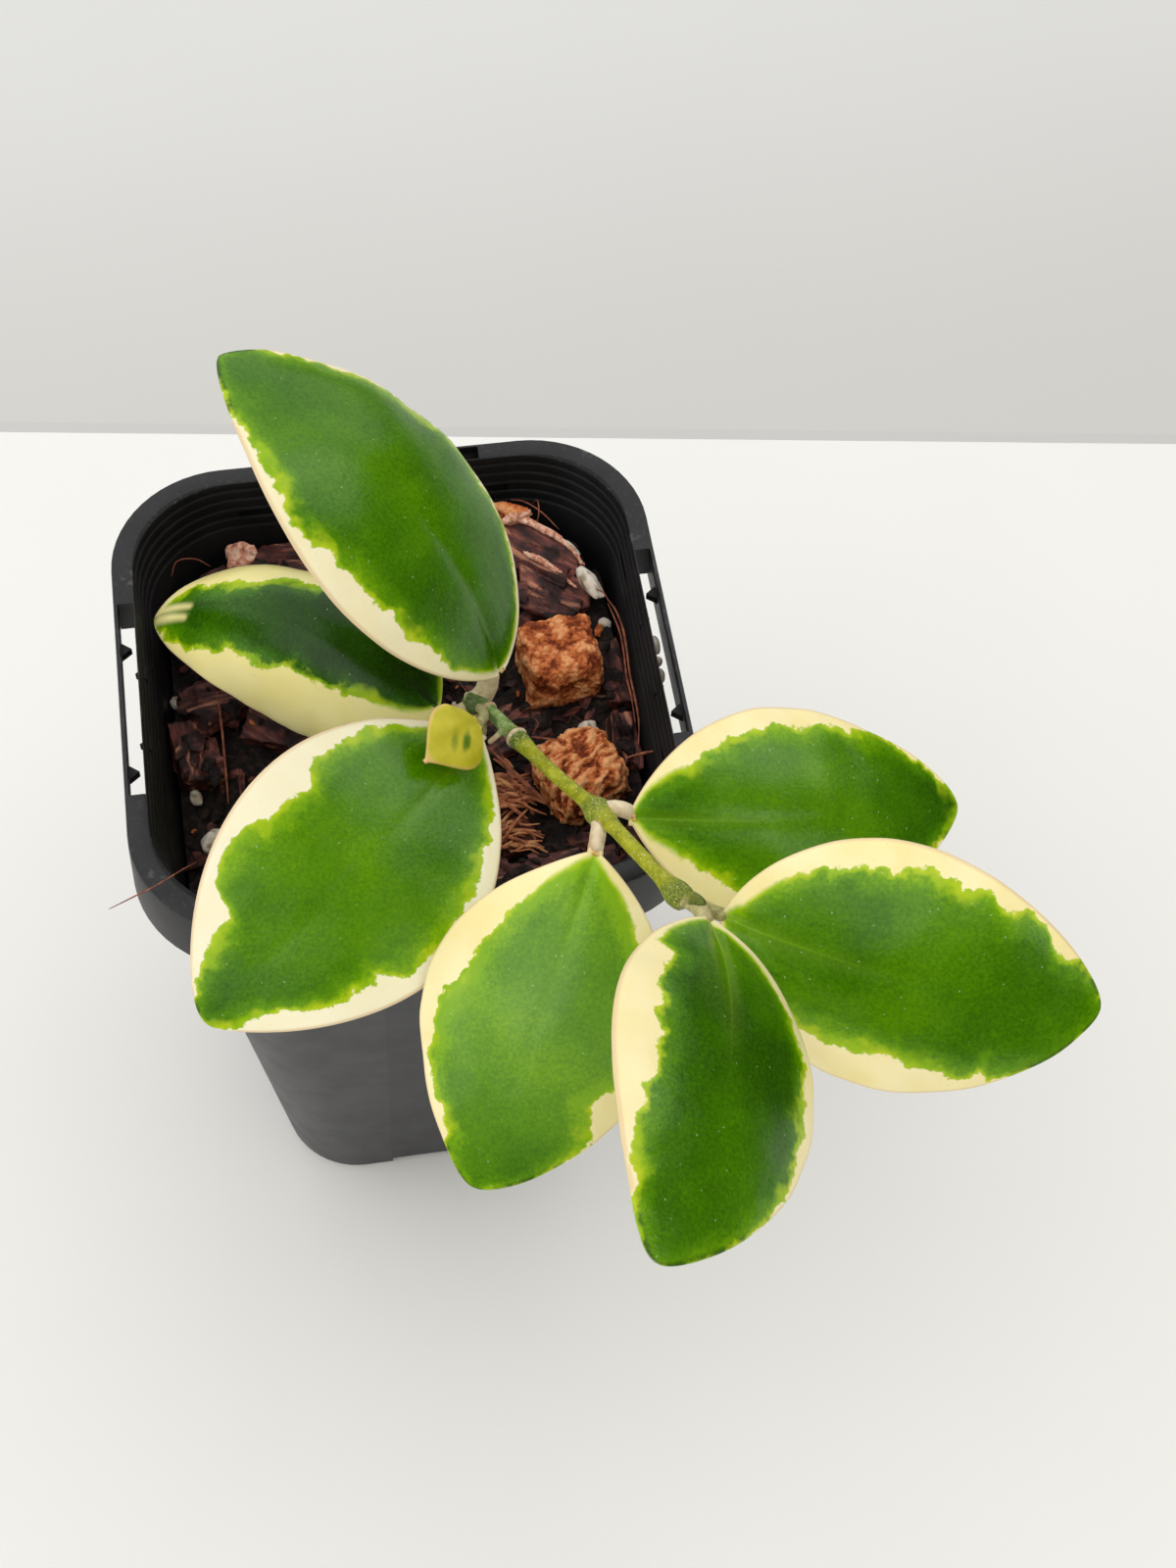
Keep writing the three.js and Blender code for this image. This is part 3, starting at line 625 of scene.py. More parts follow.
husk, tree, shader = new_finish("coconut_husk", Roughness=0.95, Specular_IOR_Level=0.2)
height = attribute(tree, "height")
where = place(tree)
mottle = sums(tree, "MULTIPLY", sums(tree, "SUBTRACT", grain(tree, where, 0.55, 4, 0.75), 0.5), 1.5)
broad = sums(tree, "MULTIPLY", sums(tree, "SUBTRACT", grain(tree, where, 4, 3, 0.6), 0.5), 0.5)
# The husk is painted darker in its hollows and lighter on its crests, as painted shade and highlight on its
# grains and flakes, over a random mottle.
tone = sums(tree, "ADD", sums(tree, "ADD", fade(tree, height, -0.6, 0.55), mottle), broad)
stops = [
    (0.0, tint(112, 46, 20)), (0.25, tint(174, 88, 44)), (0.58, tint(214, 122, 68)),
    (0.95, tint(242, 172, 116)),
]
tree.links.new(ramp(tree, tone, stops), shader.inputs["Base Color"])
pith = node(tree, "ShaderNodeTexVoronoi", {"Vector": where, "Scale": 1 / 0.8}).outputs["Distance"]
pitted_face = relief(tree, shader, pith, 0.3)
relief(tree, shader, grain(tree, where, 0.3, 3, 0.7), 0.2, pitted_face)

bark, tree, shader = new_finish("pine_bark", Roughness=0.62, Specular_IOR_Level=0.4)
height = attribute(tree, "height")
local = attribute(tree, "local", "Vector")
streaked = node(tree, "ShaderNodeMapping", {"Vector": local, "Scale": (0.12, 0.8, 1.6)}).outputs["Vector"]
streaks = grain(tree, streaked, 1.0, 4, 0.6)
stops = [
    (0.3, tint(40, 17, 15)), (0.46, tint(82, 37, 32)), (0.56, tint(116, 56, 46)),
    (0.72, tint(154, 88, 68)),
]
base = ramp(tree, streaks, stops)
patches = fade(tree, grain(tree, place(tree), 5, 3, 0.6), 0.38, 0.6)
base = blend(tree, patches, tint(42, 20, 17), base)
edges = fade(tree, height, 0.1, 0.34, 0, 0.85)
tree.links.new(blend(tree, edges, base, tint(200, 132, 100)), shader.inputs["Base Color"])
relief(tree, shader, grain(tree, streaked, 0.5, 4, 0.7), 0.22)

pumice, tree, shader = new_finish("pale_pumice", Roughness=0.9)
height = attribute(tree, "height")
where = place(tree)
stops = [(0.35, tint(204, 186, 160)), (0.62, tint(238, 230, 218))]
stains = ramp(tree, grain(tree, where, 2.2, 4, 0.6), stops)
# The pores are painted a darker brown: painted shade inside them.
pores = fade(tree, height, -0.12, 0.0)
tree.links.new(blend(tree, pores, tint(150, 130, 106), stains), shader.inputs["Base Color"])
relief(tree, shader, grain(tree, where, 0.3, 3, 0.7), 0.08)

coir, tree, shader = new_finish("coir_fibre", Roughness=0.85)
where = place(tree)
shade = attribute(tree, "shade")
stops = [
    (0.3, tint(78, 36, 24)), (0.5, tint(126, 66, 44)), (0.75, tint(196, 118, 76)),
    (1.0, tint(232, 178, 118)),
]
clumps = sums(tree, "MULTIPLY", grain(tree, where, 1.2, 4, 0.6), 0.7)
patchy = sums(tree, "ADD", clumps, sums(tree, "MULTIPLY", shade, 0.5))
tree.links.new(ramp(tree, patchy, stops), shader.inputs["Base Color"])
relief(tree, shader, grain(tree, where, 0.25, 2), 0.06)

CHIP_FINISH = {
    "coco": (husk, "coco_chip"), "bark": (bark, "bark"), "pumice": (pumice, "pumice"),
    "coir": (coir, "coir"),
}
bark_chips = []
clean_chips = []
for node_name in sorted(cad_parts):
    kind = node_name.split("_")[0]
    if kind in CHIP_KINDS:
        piece = chip(node_name)
        finish, slot = CHIP_FINISH[kind]
        dress(piece, finish, slot, 80)
        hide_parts(node_name)
        if kind == "bark":
            bark_chips.append(piece)
        else:
            clean_chips.append(piece)

# Broken plates. Flat pieces of bark and one torn bit of husk that stand against the back wall, with
# fibrous edges where they tore, paler and pinker than their faces. They lie loose on the mix.
PLATES = {
    "bark_plate_back": (3.2, (
        (20.5, 33, 116.4), (23.3, 33.1, 116.6), (28, 29.4, 116.2), (31.9, 25.6, 115.4), (31.8, 22.8, 114),
        (29.6, 21.6, 113.4), (26, 24.2, 113.4), (21, 28.8, 114),
    )),
    "bark_plate_low": (3.4, (
        (22, 27.4, 113.6), (26.7, 27, 114), (30.4, 23, 113.8), (33.2, 19.6, 112.6), (33, 17.4, 111.6),
        (28.9, 16.2, 111.4), (22.7, 18, 111.6),
    )),
    "bark_wedge": (3.5, (
        (17.5, 36.4, 117.2), (22, 35.6, 118.2), (25.2, 33.8, 118.2), (24.7, 32.2, 116.8),
        (20.2, 32.2, 116.2), (18.4, 33.8, 116),
    )),
    "bark_corner": (3.6, (
        (-32.2, 30.4, 109.6), (-29.4, 32.8, 110.6), (-25.4, 34.4, 111), (-24, 32, 110.4), (-28, 28.4, 109.4),
        (-33.8, 26, 108.4),
    )),
    "bark_far": (3.2, (
        (-19.8, 36, 112), (-13.8, 36.4, 112.8), (-8.5, 35, 112.6), (-8, 30.5, 111.2), (-14.3, 31, 110.6),
        (-19, 32.4, 110.8),
    )),
}
HUSK_PLATES = ("bark_wedge",)
TORN_BIT = (
    (-25.2, 36, 113.2), (-22.6, 36.4, 114.6), (-20, 35.8, 113.8), (-19.6, 33.6, 112.6),
    (-22, 32.6, 112.2), (-25, 33, 112),
)
TORN_BIT_THICK = 2.6
TORN_EDGES = {
    "edge_back": (0.8, (
        (19.6, 32.4, 117.2), (22.4, 33.7, 117.6), (25.2, 32.2, 117.4), (28.6, 29.4, 117),
        (31.4, 26.2, 116.2), (32.7, 23.4, 115.2), (32.1, 23.5, 115), (30.6, 25.9, 115.8),
        (28, 28.6, 116.4), (24.8, 31.2, 116.8), (22.2, 32.5, 117), (20, 31.7, 116.8),
    )),
    "edge_low": (0.8, (
        (23, 27.8, 115), (26, 25.9, 115.2), (28.6, 23.2, 114.8), (31.2, 20, 113.7), (30.8, 19.7, 113.4),
        (28.1, 22.3, 114.2), (25.6, 24.9, 114.6), (23, 27, 114.4),
    )),
    "edge_wedge": (1, (
        (20, 32.6, 117.2), (22.6, 33, 117.8), (25.4, 33.5, 118.6), (25.6, 32.5, 118), (23, 32, 117.2),
        (20.2, 31.8, 116.8),
    )),
}


def through(points, step):
    """Centripetal Catmull-Rom curve through points, walked in steps of about that length."""
    points = [Vector(p) for p in points]
    ends = [2 * points[0] - points[1]] + points + [2 * points[-1] - points[-2]]
    walk = []
    for a, b, c, d in zip(ends, ends[1:], ends[2:], ends[3:]):
        ta = 0
        tb = ta + (b - a).length ** 0.5
        tc = tb + (c - b).length ** 0.5
        td = tc + (d - c).length ** 0.5
        count = max(2, round((c - b).length / step))
        for i in range(count):
            t = tb + (tc - tb) * i / count
            ab = a * ((tb - t) / (tb - ta)) + b * ((t - ta) / (tb - ta))
            bc = b * ((tc - t) / (tc - tb)) + c * ((t - tb) / (tc - tb))
            cd = c * ((td - t) / (td - tc)) + d * ((t - tc) / (td - tc))
            abc = ab * ((tc - t) / (tc - ta)) + bc * ((t - ta) / (tc - ta))
            bcd = bc * ((td - t) / (td - tb)) + cd * ((t - tb) / (td - tb))
            walk.append(abc * ((tc - t) / (tc - tb)) + bcd * ((t - tb) / (tc - tb)))
    return walk + [points[-1]]


def tube_rings(walk, radius_at, sides):
    """Rings square to a walk of points, without twist; radius_at takes the share and the point."""
    side = (walk[1] - walk[0]).orthogonal().normalized()
    rings = []
    for i, point in enumerate(walk):
        ahead = (walk[min(i + 1, len(walk) - 1)] - walk[max(i - 1, 0)]).normalized()
        side = (side - ahead * side.dot(ahead)).normalized()
        other = ahead.cross(side)
        radius = radius_at(i / (len(walk) - 1), point)
        angles = [2 * math.pi * k / sides for k in range(sides)]
        rings.append([point + (side * math.cos(a) + other * math.sin(a)) * radius for a in angles])
    return rings


def strand(route, radius, shade, sides=6, step=0.9):
    """A thin strand along a route, half as thick at its ends."""
    walk = through(route, step)
    rings = tube_rings(walk, lambda share, _: radius * (0.5 + 2 * min(0.25, share, 1 - share)), sides)
    made = extrude_through("strand", rings)
    shades, = add_values(made, shade="FLOAT")
    for value in shades:
        value.value = shade
    return made


for name, (thick, outline) in PLATES.items():
    piece = plate(name, outline, thick)
    dress(piece, husk if name in HUSK_PLATES else bark, "bark", 80)
    clean_chips.append(piece)
torn_bit = plate("husk_torn_bit", TORN_BIT, TORN_BIT_THICK)

torn, tree, shader = new_finish("torn_fibre", Roughness=0.85, Specular_IOR_Level=0.2)
where = place(tree)
stops = [(0.3, tint(158, 84, 66)), (0.46, tint(214, 144, 116)), (0.62, tint(246, 208, 182))]
tree.links.new(ramp(tree, grain(tree, where, 0.9, 4, 0.7), stops), shader.inputs["Base Color"])
relief(tree, shader, grain(tree, where, 0.3, 3, 0.7), 0.2)
dress(torn_bit, torn, "bark", 80)
for name, (thick, outline) in TORN_EDGES.items():
    dress(plate(name, outline, thick), torn, "bark", 80)

# Crumbs. Broken bits of bark, husk and pumice, from half a millimetre to ten millimetres long. They
# sift down over the mix and the chips when the pot is filled, and lie loose there.
CRUMB_KINDS = {
    "dark_crumbs": {"count": 560, "size": (0.8, 3.2), "flat": 0.6, "finish": humus, "slot": "mix_fines"},
    "bark_crumbs": {"count": 300, "size": (1.2, 4.2), "flat": 0.4, "finish": bark, "slot": "bark"},
    "husk_crumbs": {"count": 70, "size": (0.5, 1.7), "flat": 0.8, "finish": husk, "slot": "coco_chip"},
    "pumice_crumbs": {"count": 26, "size": (0.5, 1.6), "flat": 0.9, "finish": pumice, "slot": "pumice"},
}
CRUMB_SHAPES = 5
DROP_FROM = 124
DROP_HALF = 34.7
STEM_FOOT = (10.2, -8.5)
STEM_CLEAR = 2.4


def ground_of(pieces):
    """Everything that a crumb can land on."""
    whole = bmesh.new()
    for piece in pieces:
        whole.from_mesh(piece.data)
    return BVHTree.FromBMesh(whole)


def landing(ground, kept_clean, draw):
    """Where a crumb dropped at random inside the pot comes to lie, and the slope there."""
    down = Vector((0, 0, -1))
    while True:
        x = draw.uniform(-DROP_HALF, DROP_HALF)
        y = draw.uniform(-DROP_HALF, DROP_HALF)
        start = Vector((x, y, DROP_FROM)) * MM
        spot, slope, _, _ = ground.ray_cast(start, down)
        if spot is None or kept_clean.ray_cast(start, down)[0] is not None:
            continue
        if math.hypot(x - STEM_FOOT[0], y - STEM_FOOT[1]) > STEM_CLEAR:
            return spot, slope


def crumb_shape(draw):
    """One broken bit, a few dozen faces, of unit size."""
    bpy.ops.mesh.primitive_ico_sphere_add(subdivisions=1, radius=0.5)
    made = bpy.context.active_object
    for point in made.data.vertices:
        point.co *= draw.uniform(0.72, 1.12)
    return made


ground = ground_of([mix] + bark_chips)
kept_clean = ground_of(clean_chips)
draw = random.Random(5)
for name, kind in CRUMB_KINDS.items():
    shapes = [crumb_shape(draw) for _ in range(CRUMB_SHAPES)]
    heap = bmesh.new()
    for _ in range(kind["count"]):
        spot, slope = landing(ground, kept_clean, draw)
        size = draw.uniform(*kind["size"]) * draw.uniform(0.5, 1.0) * MM
        spin = Matrix.Rotation(draw.uniform(0, 6.28), 4, "Z")
        turn = slope.to_track_quat("Z", "Y").to_matrix().to_4x4() @ spin
        tilt = Matrix.Rotation(draw.uniform(-0.5, 0.5), 4, "X")
        stretch = Matrix.Diagonal((size * draw.uniform(1, 2.4), size, size * kind["flat"], 1))
        lie = Matrix.Translation(spot + slope * size * 0.12) @ turn @ tilt @ stretch
        bit = shapes[draw.randrange(CRUMB_SHAPES)].data.copy()
        bit.transform(lie)
        heap.from_mesh(bit)
        bpy.data.meshes.remove(bit)
    crumbs = bpy.data.objects.new(name, bpy.data.meshes.new(name))
    bpy.context.scene.collection.objects.link(crumbs)
    heap.to_mesh(crumbs.data)
    heap.free()
    heights, places = add_values(crumbs, height="FLOAT", local="FLOAT_VECTOR")
    for point in crumbs.data.vertices:
        places[point.index].vector = point.co / MM
        heights[point.index].value = 0.5 * noise.noise(point.co / MM)
    dress(crumbs, kind["finish"], kind["slot"], 20)
    for shape in shapes:
        bpy.data.objects.remove(shape)

# Fibres. Brown strands of coir, and thin roots and twigs, that stick out of the mix and lean on the
# wall. Two tufts of them lie at the front of the mix, and fine hairs are strewn all over it.
STRANDS = {
    "strand_right": (0.2, (
        (34.9, 14.3, 117), (35.8, 12, 117), (36.5, 9.1, 116), (36.6, 5.4, 115), (36.5, 1.6, 114),
        (36.7, -2.6, 113), (36.7, -6.4, 112), (36.1, -10, 111),
    )),
    "strand_right_two": (0.17, (
        (34.9, 14.1, 116.2), (35.5, 11.4, 116), (36.1, 8.8, 115), (36.2, 5.6, 114), (36.1, 2, 113),
        (36.3, -2.1, 112), (36.3, -5.7, 111),
    )),
    "strand_pumice": (0.15, ((33.8, 17.6, 115.5), (34.6, 15.8, 116.6), (34.9, 14.2, 117))),
    "twig_right": (0.26, ((33.6, -13.4, 113), (35.9, -13.6, 114), (37.4, -14.4, 115.6))),
    "twig_front": (0.4, ((12.6, -9.7, 114), (15.2, -12.9, 113), (18.2, -16.2, 111.5), (20.2, -18.6, 111))),
    "twig_low": (0.3, ((14.5, -8.9, 111), (15.3, -12.4, 110.5), (16.3, -16.2, 110), (18.1, -19.4, 109.5))),
    "twig_middle": (0.22, ((19.6, -6.3, 111), (22.2, -7.4, 111.5), (24.8, -8, 111))),
    "twig_middle_two": (0.2, ((18.2, -7.8, 110.6), (21.4, -8.6, 111.4), (25.2, -9.6, 110.8))),
    "curl": (0.12, ((20.4, -3.5, 112), (20.8, -5.2, 113), (20.2, -6.2, 113), (19.7, -6.6, 112))),
    "stalk_left": (0.2, ((-28.5, 8.4, 112), (-28.3, 2.4, 111), (-28.3, -4.3, 110), (-28.4, -10.9, 109))),
    "arc_left": (0.14, ((-34, 30.4, 114), (-32.9, 31.7, 116), (-30.1, 31.9, 116), (-27.7, 32.3, 113))),
    "rim_hair": (0.11, (
        (-33.1, -28.4, 122), (-35, -31.8, 126), (-38.5, -34, 126.5), (-42.2, -34.7, 125),
        (-45.8, -35, 123),
    )),
    "back_hair": (0.13, ((22.3, 36.6, 117), (24.3, 35.1, 118), (26.7, 32.7, 118), (29.4, 30.2, 116))),
    "back_hair_two": (0.11, ((25.8, 36, 116), (26.5, 35.2, 118), (26.3, 32.1, 118), (25.4, 30.8, 116))),
}
HAIR_COUNT = 90
HAIR_LENGTH = (4, 10)
HAIR_RADIUS = (0.05, 0.09)
HAIR_STEP = 1.5
HAIR_START_HALF = 33
HAIR_END_HALF = 34.5
TUFTS = (
    {
        "middle": Vector((15, -15.6, 109.6)), "spread": Vector((2, 4.4, 0.8)),
        "count": 46, "shade": (0.5, 1),
    },
    {
        "middle": Vector((14.6, -22.5, 108.6)), "spread": Vector((2.4, 3.4, 0.7)),
        "count": 34, "shade": (0.4, 1.1),
    },
)


def lying_hair(ground, draw):
    """A hair that starts at random on the mix and follows the ground, a little above it."""
    x = draw.uniform(-HAIR_START_HALF, HAIR_START_HALF)
    y = draw.uniform(-HAIR_START_HALF, HAIR_START_HALF)
    way = draw.uniform(0, 2 * math.pi)
    lift = draw.uniform(0.2, 1.2)
    count = max(4, round(draw.uniform(*HAIR_LENGTH) / HAIR_STEP))
    route = []
    for i in range(count):
        hit = ground.ray_cast(Vector((x, y, DROP_FROM)) * MM, Vector((0, 0, -1)))[0]
        if hit is None or max(abs(x), abs(y)) > HAIR_END_HALF:
            break
        arc = math.sin(math.pi * i / (count - 1))
        route.append(Vector((x, y, hit.z / MM + 0.1 + lift * arc)))
        way += draw.uniform(-0.5, 0.5)
        x += HAIR_STEP * math.cos(way)
        y += HAIR_STEP * math.sin(way)
    return route


def tuft_hair(tuft, draw):
    """A strand of a tuft, which runs from left to right and dips at its ends."""
    middle = tuft["middle"] + Vector([draw.gauss(0, 0.5) * spread for spread in tuft["spread"]])
    way = draw.gauss(-0.15, 0.42)
    half = draw.uniform(1.2, 3.8)
    ahead = Vector((math.cos(way), math.sin(way), draw.uniform(-0.2, 0.2)))
    route = []
    for share in (-1, -0.4, 0.3, 1):
        stray = Vector((0, draw.uniform(-0.5, 0.5), draw.uniform(-0.2, 0.3) - 0.8 * share ** 2))
        route.append(middle + ahead * half * share + stray)
    return route


draw = random.Random(11)
strands = [strand(route, radius, 0.35) for radius, route in STRANDS.values()]
for tuft in TUFTS:
    for _ in range(tuft["count"]):
        strands.append(strand(tuft_hair(tuft, draw), draw.uniform(0.1, 0.36), draw.uniform(*tuft["shade"])))
hairs = 0
while hairs < HAIR_COUNT:
    route = lying_hair(ground, draw)
    if len(route) > 3:
        strands.append(strand(route, draw.uniform(*HAIR_RADIUS), draw.uniform(0, 0.6), 5, 1.2))
        hairs += 1
dress(join(strands, "coir_strands"), coir, "coir", 60)

# Stem. One green, speckled vine stem, a little over two millimetres thick and rooted in the mix,
# that swells at every node. Ridges mark where bracts fell, a dry flower stub stands beside one, and
# small buds sit at the nodes.
STEM_RADIUS = 1.08
NODE_LENGTH = 2.5
FIRST_NODE = Vector((10, -10.2, 128.5))
RING_NODE = Vector((15.5, -20.6, 132.6))
SECOND_NODE = Vector((23.8, -39.9, 142))
THIRD_NODE = Vector((31.1, -58.3, 149.6))
NODES = ((FIRST_NODE, 0.5), (RING_NODE, 0.4), (SECOND_NODE, 1.0), (THIRD_NODE, 0.8))
STEM_ROUTE = (
    (10.5, -7, 84), (10.4, -8, 100), (10, -9, 118), FIRST_NODE, (11.9, -13.4, 130.6),
    RING_NODE, (19, -29.8, 137.4), SECOND_NODE, (27.6, -50, 146.6), THIRD_NODE,
    (31.8, -59.4, 149.9),
)
STEM_SIDES = 20
STEM_STEP = 0.4


def rounded_rod(name, route, radii, sides=16, step=0.12):
    """A rod along a route whose ends are rounded off."""
    walk = through(route, step)
    length = sum((b - a).length for a, b in zip(walk, walk[1:]))

    def radius_at(share, _point):
        radius = radii[0] + (radii[1] - radii[0]) * share
        from_end = min(share, 1 - share) * length / radius
        return radius * max(0.12, math.sqrt(max(0, 1 - (1 - min(1, from_end)) ** 2)))

    return extrude_through(name, tube_rings(walk, radius_at, sides))


def stem_radius(_share, point):
    swell = max(rise * math.exp(-((point - n).length / NODE_LENGTH) ** 2) for n, rise in NODES)
    return STEM_RADIUS * (1 + 0.04 * noise.noise(point * 0.8)) + swell


def ridge(middle, major, minor):
    """A raised ring square to the stem, where a bract has fallen."""
    nearest = min(range(1, len(stem_walk) - 1), key=lambda i: (stem_walk[i] - Vector(middle)).length)
    ahead = (stem_walk[nearest + 1] - stem_walk[nearest - 1]).normalized()
    bpy.ops.mesh.primitive_torus_add(major_radius=major * MM, minor_radius=minor * MM, minor_segments=10)
    made = bpy.context.active_object
    turn = ahead.to_track_quat("Z", "Y").to_matrix().to_4x4()
    made.data.transform(Matrix.Translation(stem_walk[nearest] * MM) @ turn)
    return made


RIDGES = {"scar": ((11.9, -13.4, 130.6), 1.15, 0.3), "collar": ((15.3, -20, 132.4), 1.45, 0.3)}
STUB = ((13.4, -17.8, 131.5), (12.2, -18.7, 131.2), (11, -19.5, 131.1))
BUDS = {
    "end_bud": ((32, -59.2, 150.2), (33.1, -60.4, 151), (33.8, -61.6, 151.6), 1.3, 0.7),
    "end_cushion": ((31.3, -58.6, 149.5), (31.7, -59.4, 149.9), (32.1, -60.2, 150.3), 1.6, 1.3),
    "eye_left": ((23.5, -41.1, 142.4), (23.4, -41.8, 142.8), (23.4, -42.5, 143.0), 0.75, 0.45),
    "eye_right": ((24.7, -39.9, 142.6), (25.2, -40.2, 143.1), (25.6, -40.5, 143.5), 0.8, 0.45),
    "first_bud": ((10, -11, 129.2), (10, -12.2, 129.9), (9.8, -13.2, 130.2), 1.7, 1.2),
}
stem_walk = through(STEM_ROUTE, STEM_STEP)
grown = [extrude_through("vine", tube_rings(stem_walk, stem_radius, STEM_SIDES))]
grown += [ridge(*shape) for shape in RIDGES.values()]
grown.append(rounded_rod("stub", STUB, (0.5, 0.42)))
grown += [rounded_rod(name, shape[:3], shape[3:]) for name, shape in BUDS.items()]
stem = join(grown, "vine_stem")
apply_modifier(stem, "REMESH", mode="VOXEL", voxel_size=0.17 * MM)
apply_modifier(stem, "SMOOTH", factor=0.5, iterations=3)

walked = kdtree.KDTree(len(stem_walk))
for i, point in enumerate(stem_walk):
    walked.insert(point * MM, i)
walked.balance()
ring_at = walked.find(RING_NODE * MM)[1]
first_at = walked.find(FIRST_NODE * MM)[1]


def near_rod(here, ends, reach):
    """1 on a rod between its two ends, falling to 0 beyond its reach in millimetres."""
    low, high = Vector(ends[0]), Vector(ends[-1])
    share = max(0, min(1, (here - low).dot(high - low) / (high - low).length_squared))
    return math.exp(-((here - low.lerp(high, share)).length / reach) ** 6)


def on_ridge(here, middle, major):
    """1 on a ridge, falling to 0 beyond it."""
    index = walked.find(Vector(middle) * MM)[1]
    ahead = (stem_walk[index + 1] - stem_walk[index - 1]).normalized()
    away = here - stem_walk[index]
    past = away.dot(ahead)
    if (away - ahead * past).length < major - 0.15:
        return 0
    return math.exp(-(past / 0.42) ** 4)


along_stem, at_node, dryness, dark_bud = add_values(
    stem, along="FLOAT", at_node="FLOAT", dry="FLOAT", dark_bud="FLOAT",
)
for point in stem.data.vertices:
    here = point.co / MM
    along_stem[point.index].value = (walked.find(point.co)[1] - first_at) / (ring_at - first_at)
    at_node[point.index].value = max(math.exp(-((here - n).length / 3.2) ** 2) for n, _ in NODES)
    dry = max(on_ridge(here, middle, major) for middle, major, _ in RIDGES.values())
    dry = max(dry, near_rod(here, STUB[1:], 0.75))
    eyes = [near_rod(here, BUDS[name][1:3], 0.7) for name in ("eye_left", "eye_right")]
    cushion = near_rod(here, BUDS["end_cushion"][1:3], 1.25)
    dryness[point.index].value = max([dry, 0.35 * cushion] + [0.8 * eye for eye in eyes])
    buds = (("end_bud", 1.5), ("first_bud", 2.2))
    dark_bud[point.index].value = max(near_rod(here, BUDS[n][1:3], reach) for n, reach in buds)

rind, tree, shader = new_finish(
    "stem_rind", Roughness=0.55, Specular_IOR_Level=0.22, Sheen_Weight=0.06, Sheen_Roughness=0.4,
)
where = place(tree)
along = attribute(tree, "along")
knot = attribute(tree, "at_node")
dry = attribute(tree, "dry")
dark = attribute(tree, "dark_bud")
clouds = grain(tree, where, 1.6, 4, 0.6)
stops = [(0.35, tint(130, 136, 14)), (0.55, tint(160, 162, 26)), (0.7, tint(176, 178, 44))]
green = ramp(tree, clouds, stops)
stops = [(0.35, tint(96, 124, 58)), (0.55, tint(130, 156, 86)), (0.7, tint(172, 184, 132))]
grey = ramp(tree, clouds, stops)
skin = blend(tree, fade(tree, along, 0.75, 1.15), grey, green)
freckles = fade(tree, grain(tree, where, 0.3, 2, 0.6), 0.42, 0.6)
knot_green = blend(tree, freckles, tint(46, 66, 20), tint(126, 146, 62))
skin = blend(tree, fade(tree, knot, 0.35, 0.85, 0, 0.85), skin, knot_green)
cells = node(tree, "ShaderNodeTexVoronoi", {"Vector": where, "Scale": 1 / 0.42})
pale_dots = fade(tree, cells.outputs["Distance"], 0.15, 0.36, 1, 0)
picked = fade(tree, cells.outputs["Color"], 0.45, 0.55)
dots = sums(tree, "MULTIPLY", sums(tree, "MULTIPLY", pale_dots, picked), 0.7)
skin = blend(tree, dots, skin, tint(214, 214, 160))
dry_skin = ramp(tree, clouds, [(0.35, tint(178, 146, 110)), (0.65, tint(224, 204, 172))])
skin = blend(tree, dry, skin, dry_skin)
bud_green = blend(tree, freckles, tint(34, 50, 14), tint(74, 96, 34))
skin = blend(tree, sums(tree, "MULTIPLY", dark, 0.8), skin, bud_green)
tree.links.new(skin, shader.inputs["Base Color"])
lumps = relief(tree, shader, grain(tree, where, 0.8, 3, 0.6), 0.1)
relief(tree, shader, grain(tree, where, 0.2, 2), 0.04, lumps)
dress(stem, rind, "stem", 60)
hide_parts("stem")

# Leaves. Seven stiff, fleshy, glossy blades, about a millimetre thick, each a little cupped and
# arched on its own short petiole. The middle is green and the margin, which has no green cells, is
# cream; the two meet in a ragged line with a bright yellow-green fringe. They grow on the stem.
MIDRIB_THICK = 1.4
EDGE_THICK = 0.8
BASE_HALF_WIDTH = 1.1
TIP_HALF_WIDTH = 0.35
GROOVE = 0.28
MIDRIB_SLICES = 40
BLADE_ROWS = 120
HALF_COLUMNS = 26
EDGE_STEPS = (0, 0.03, 0.1, 0.22, 0.4)
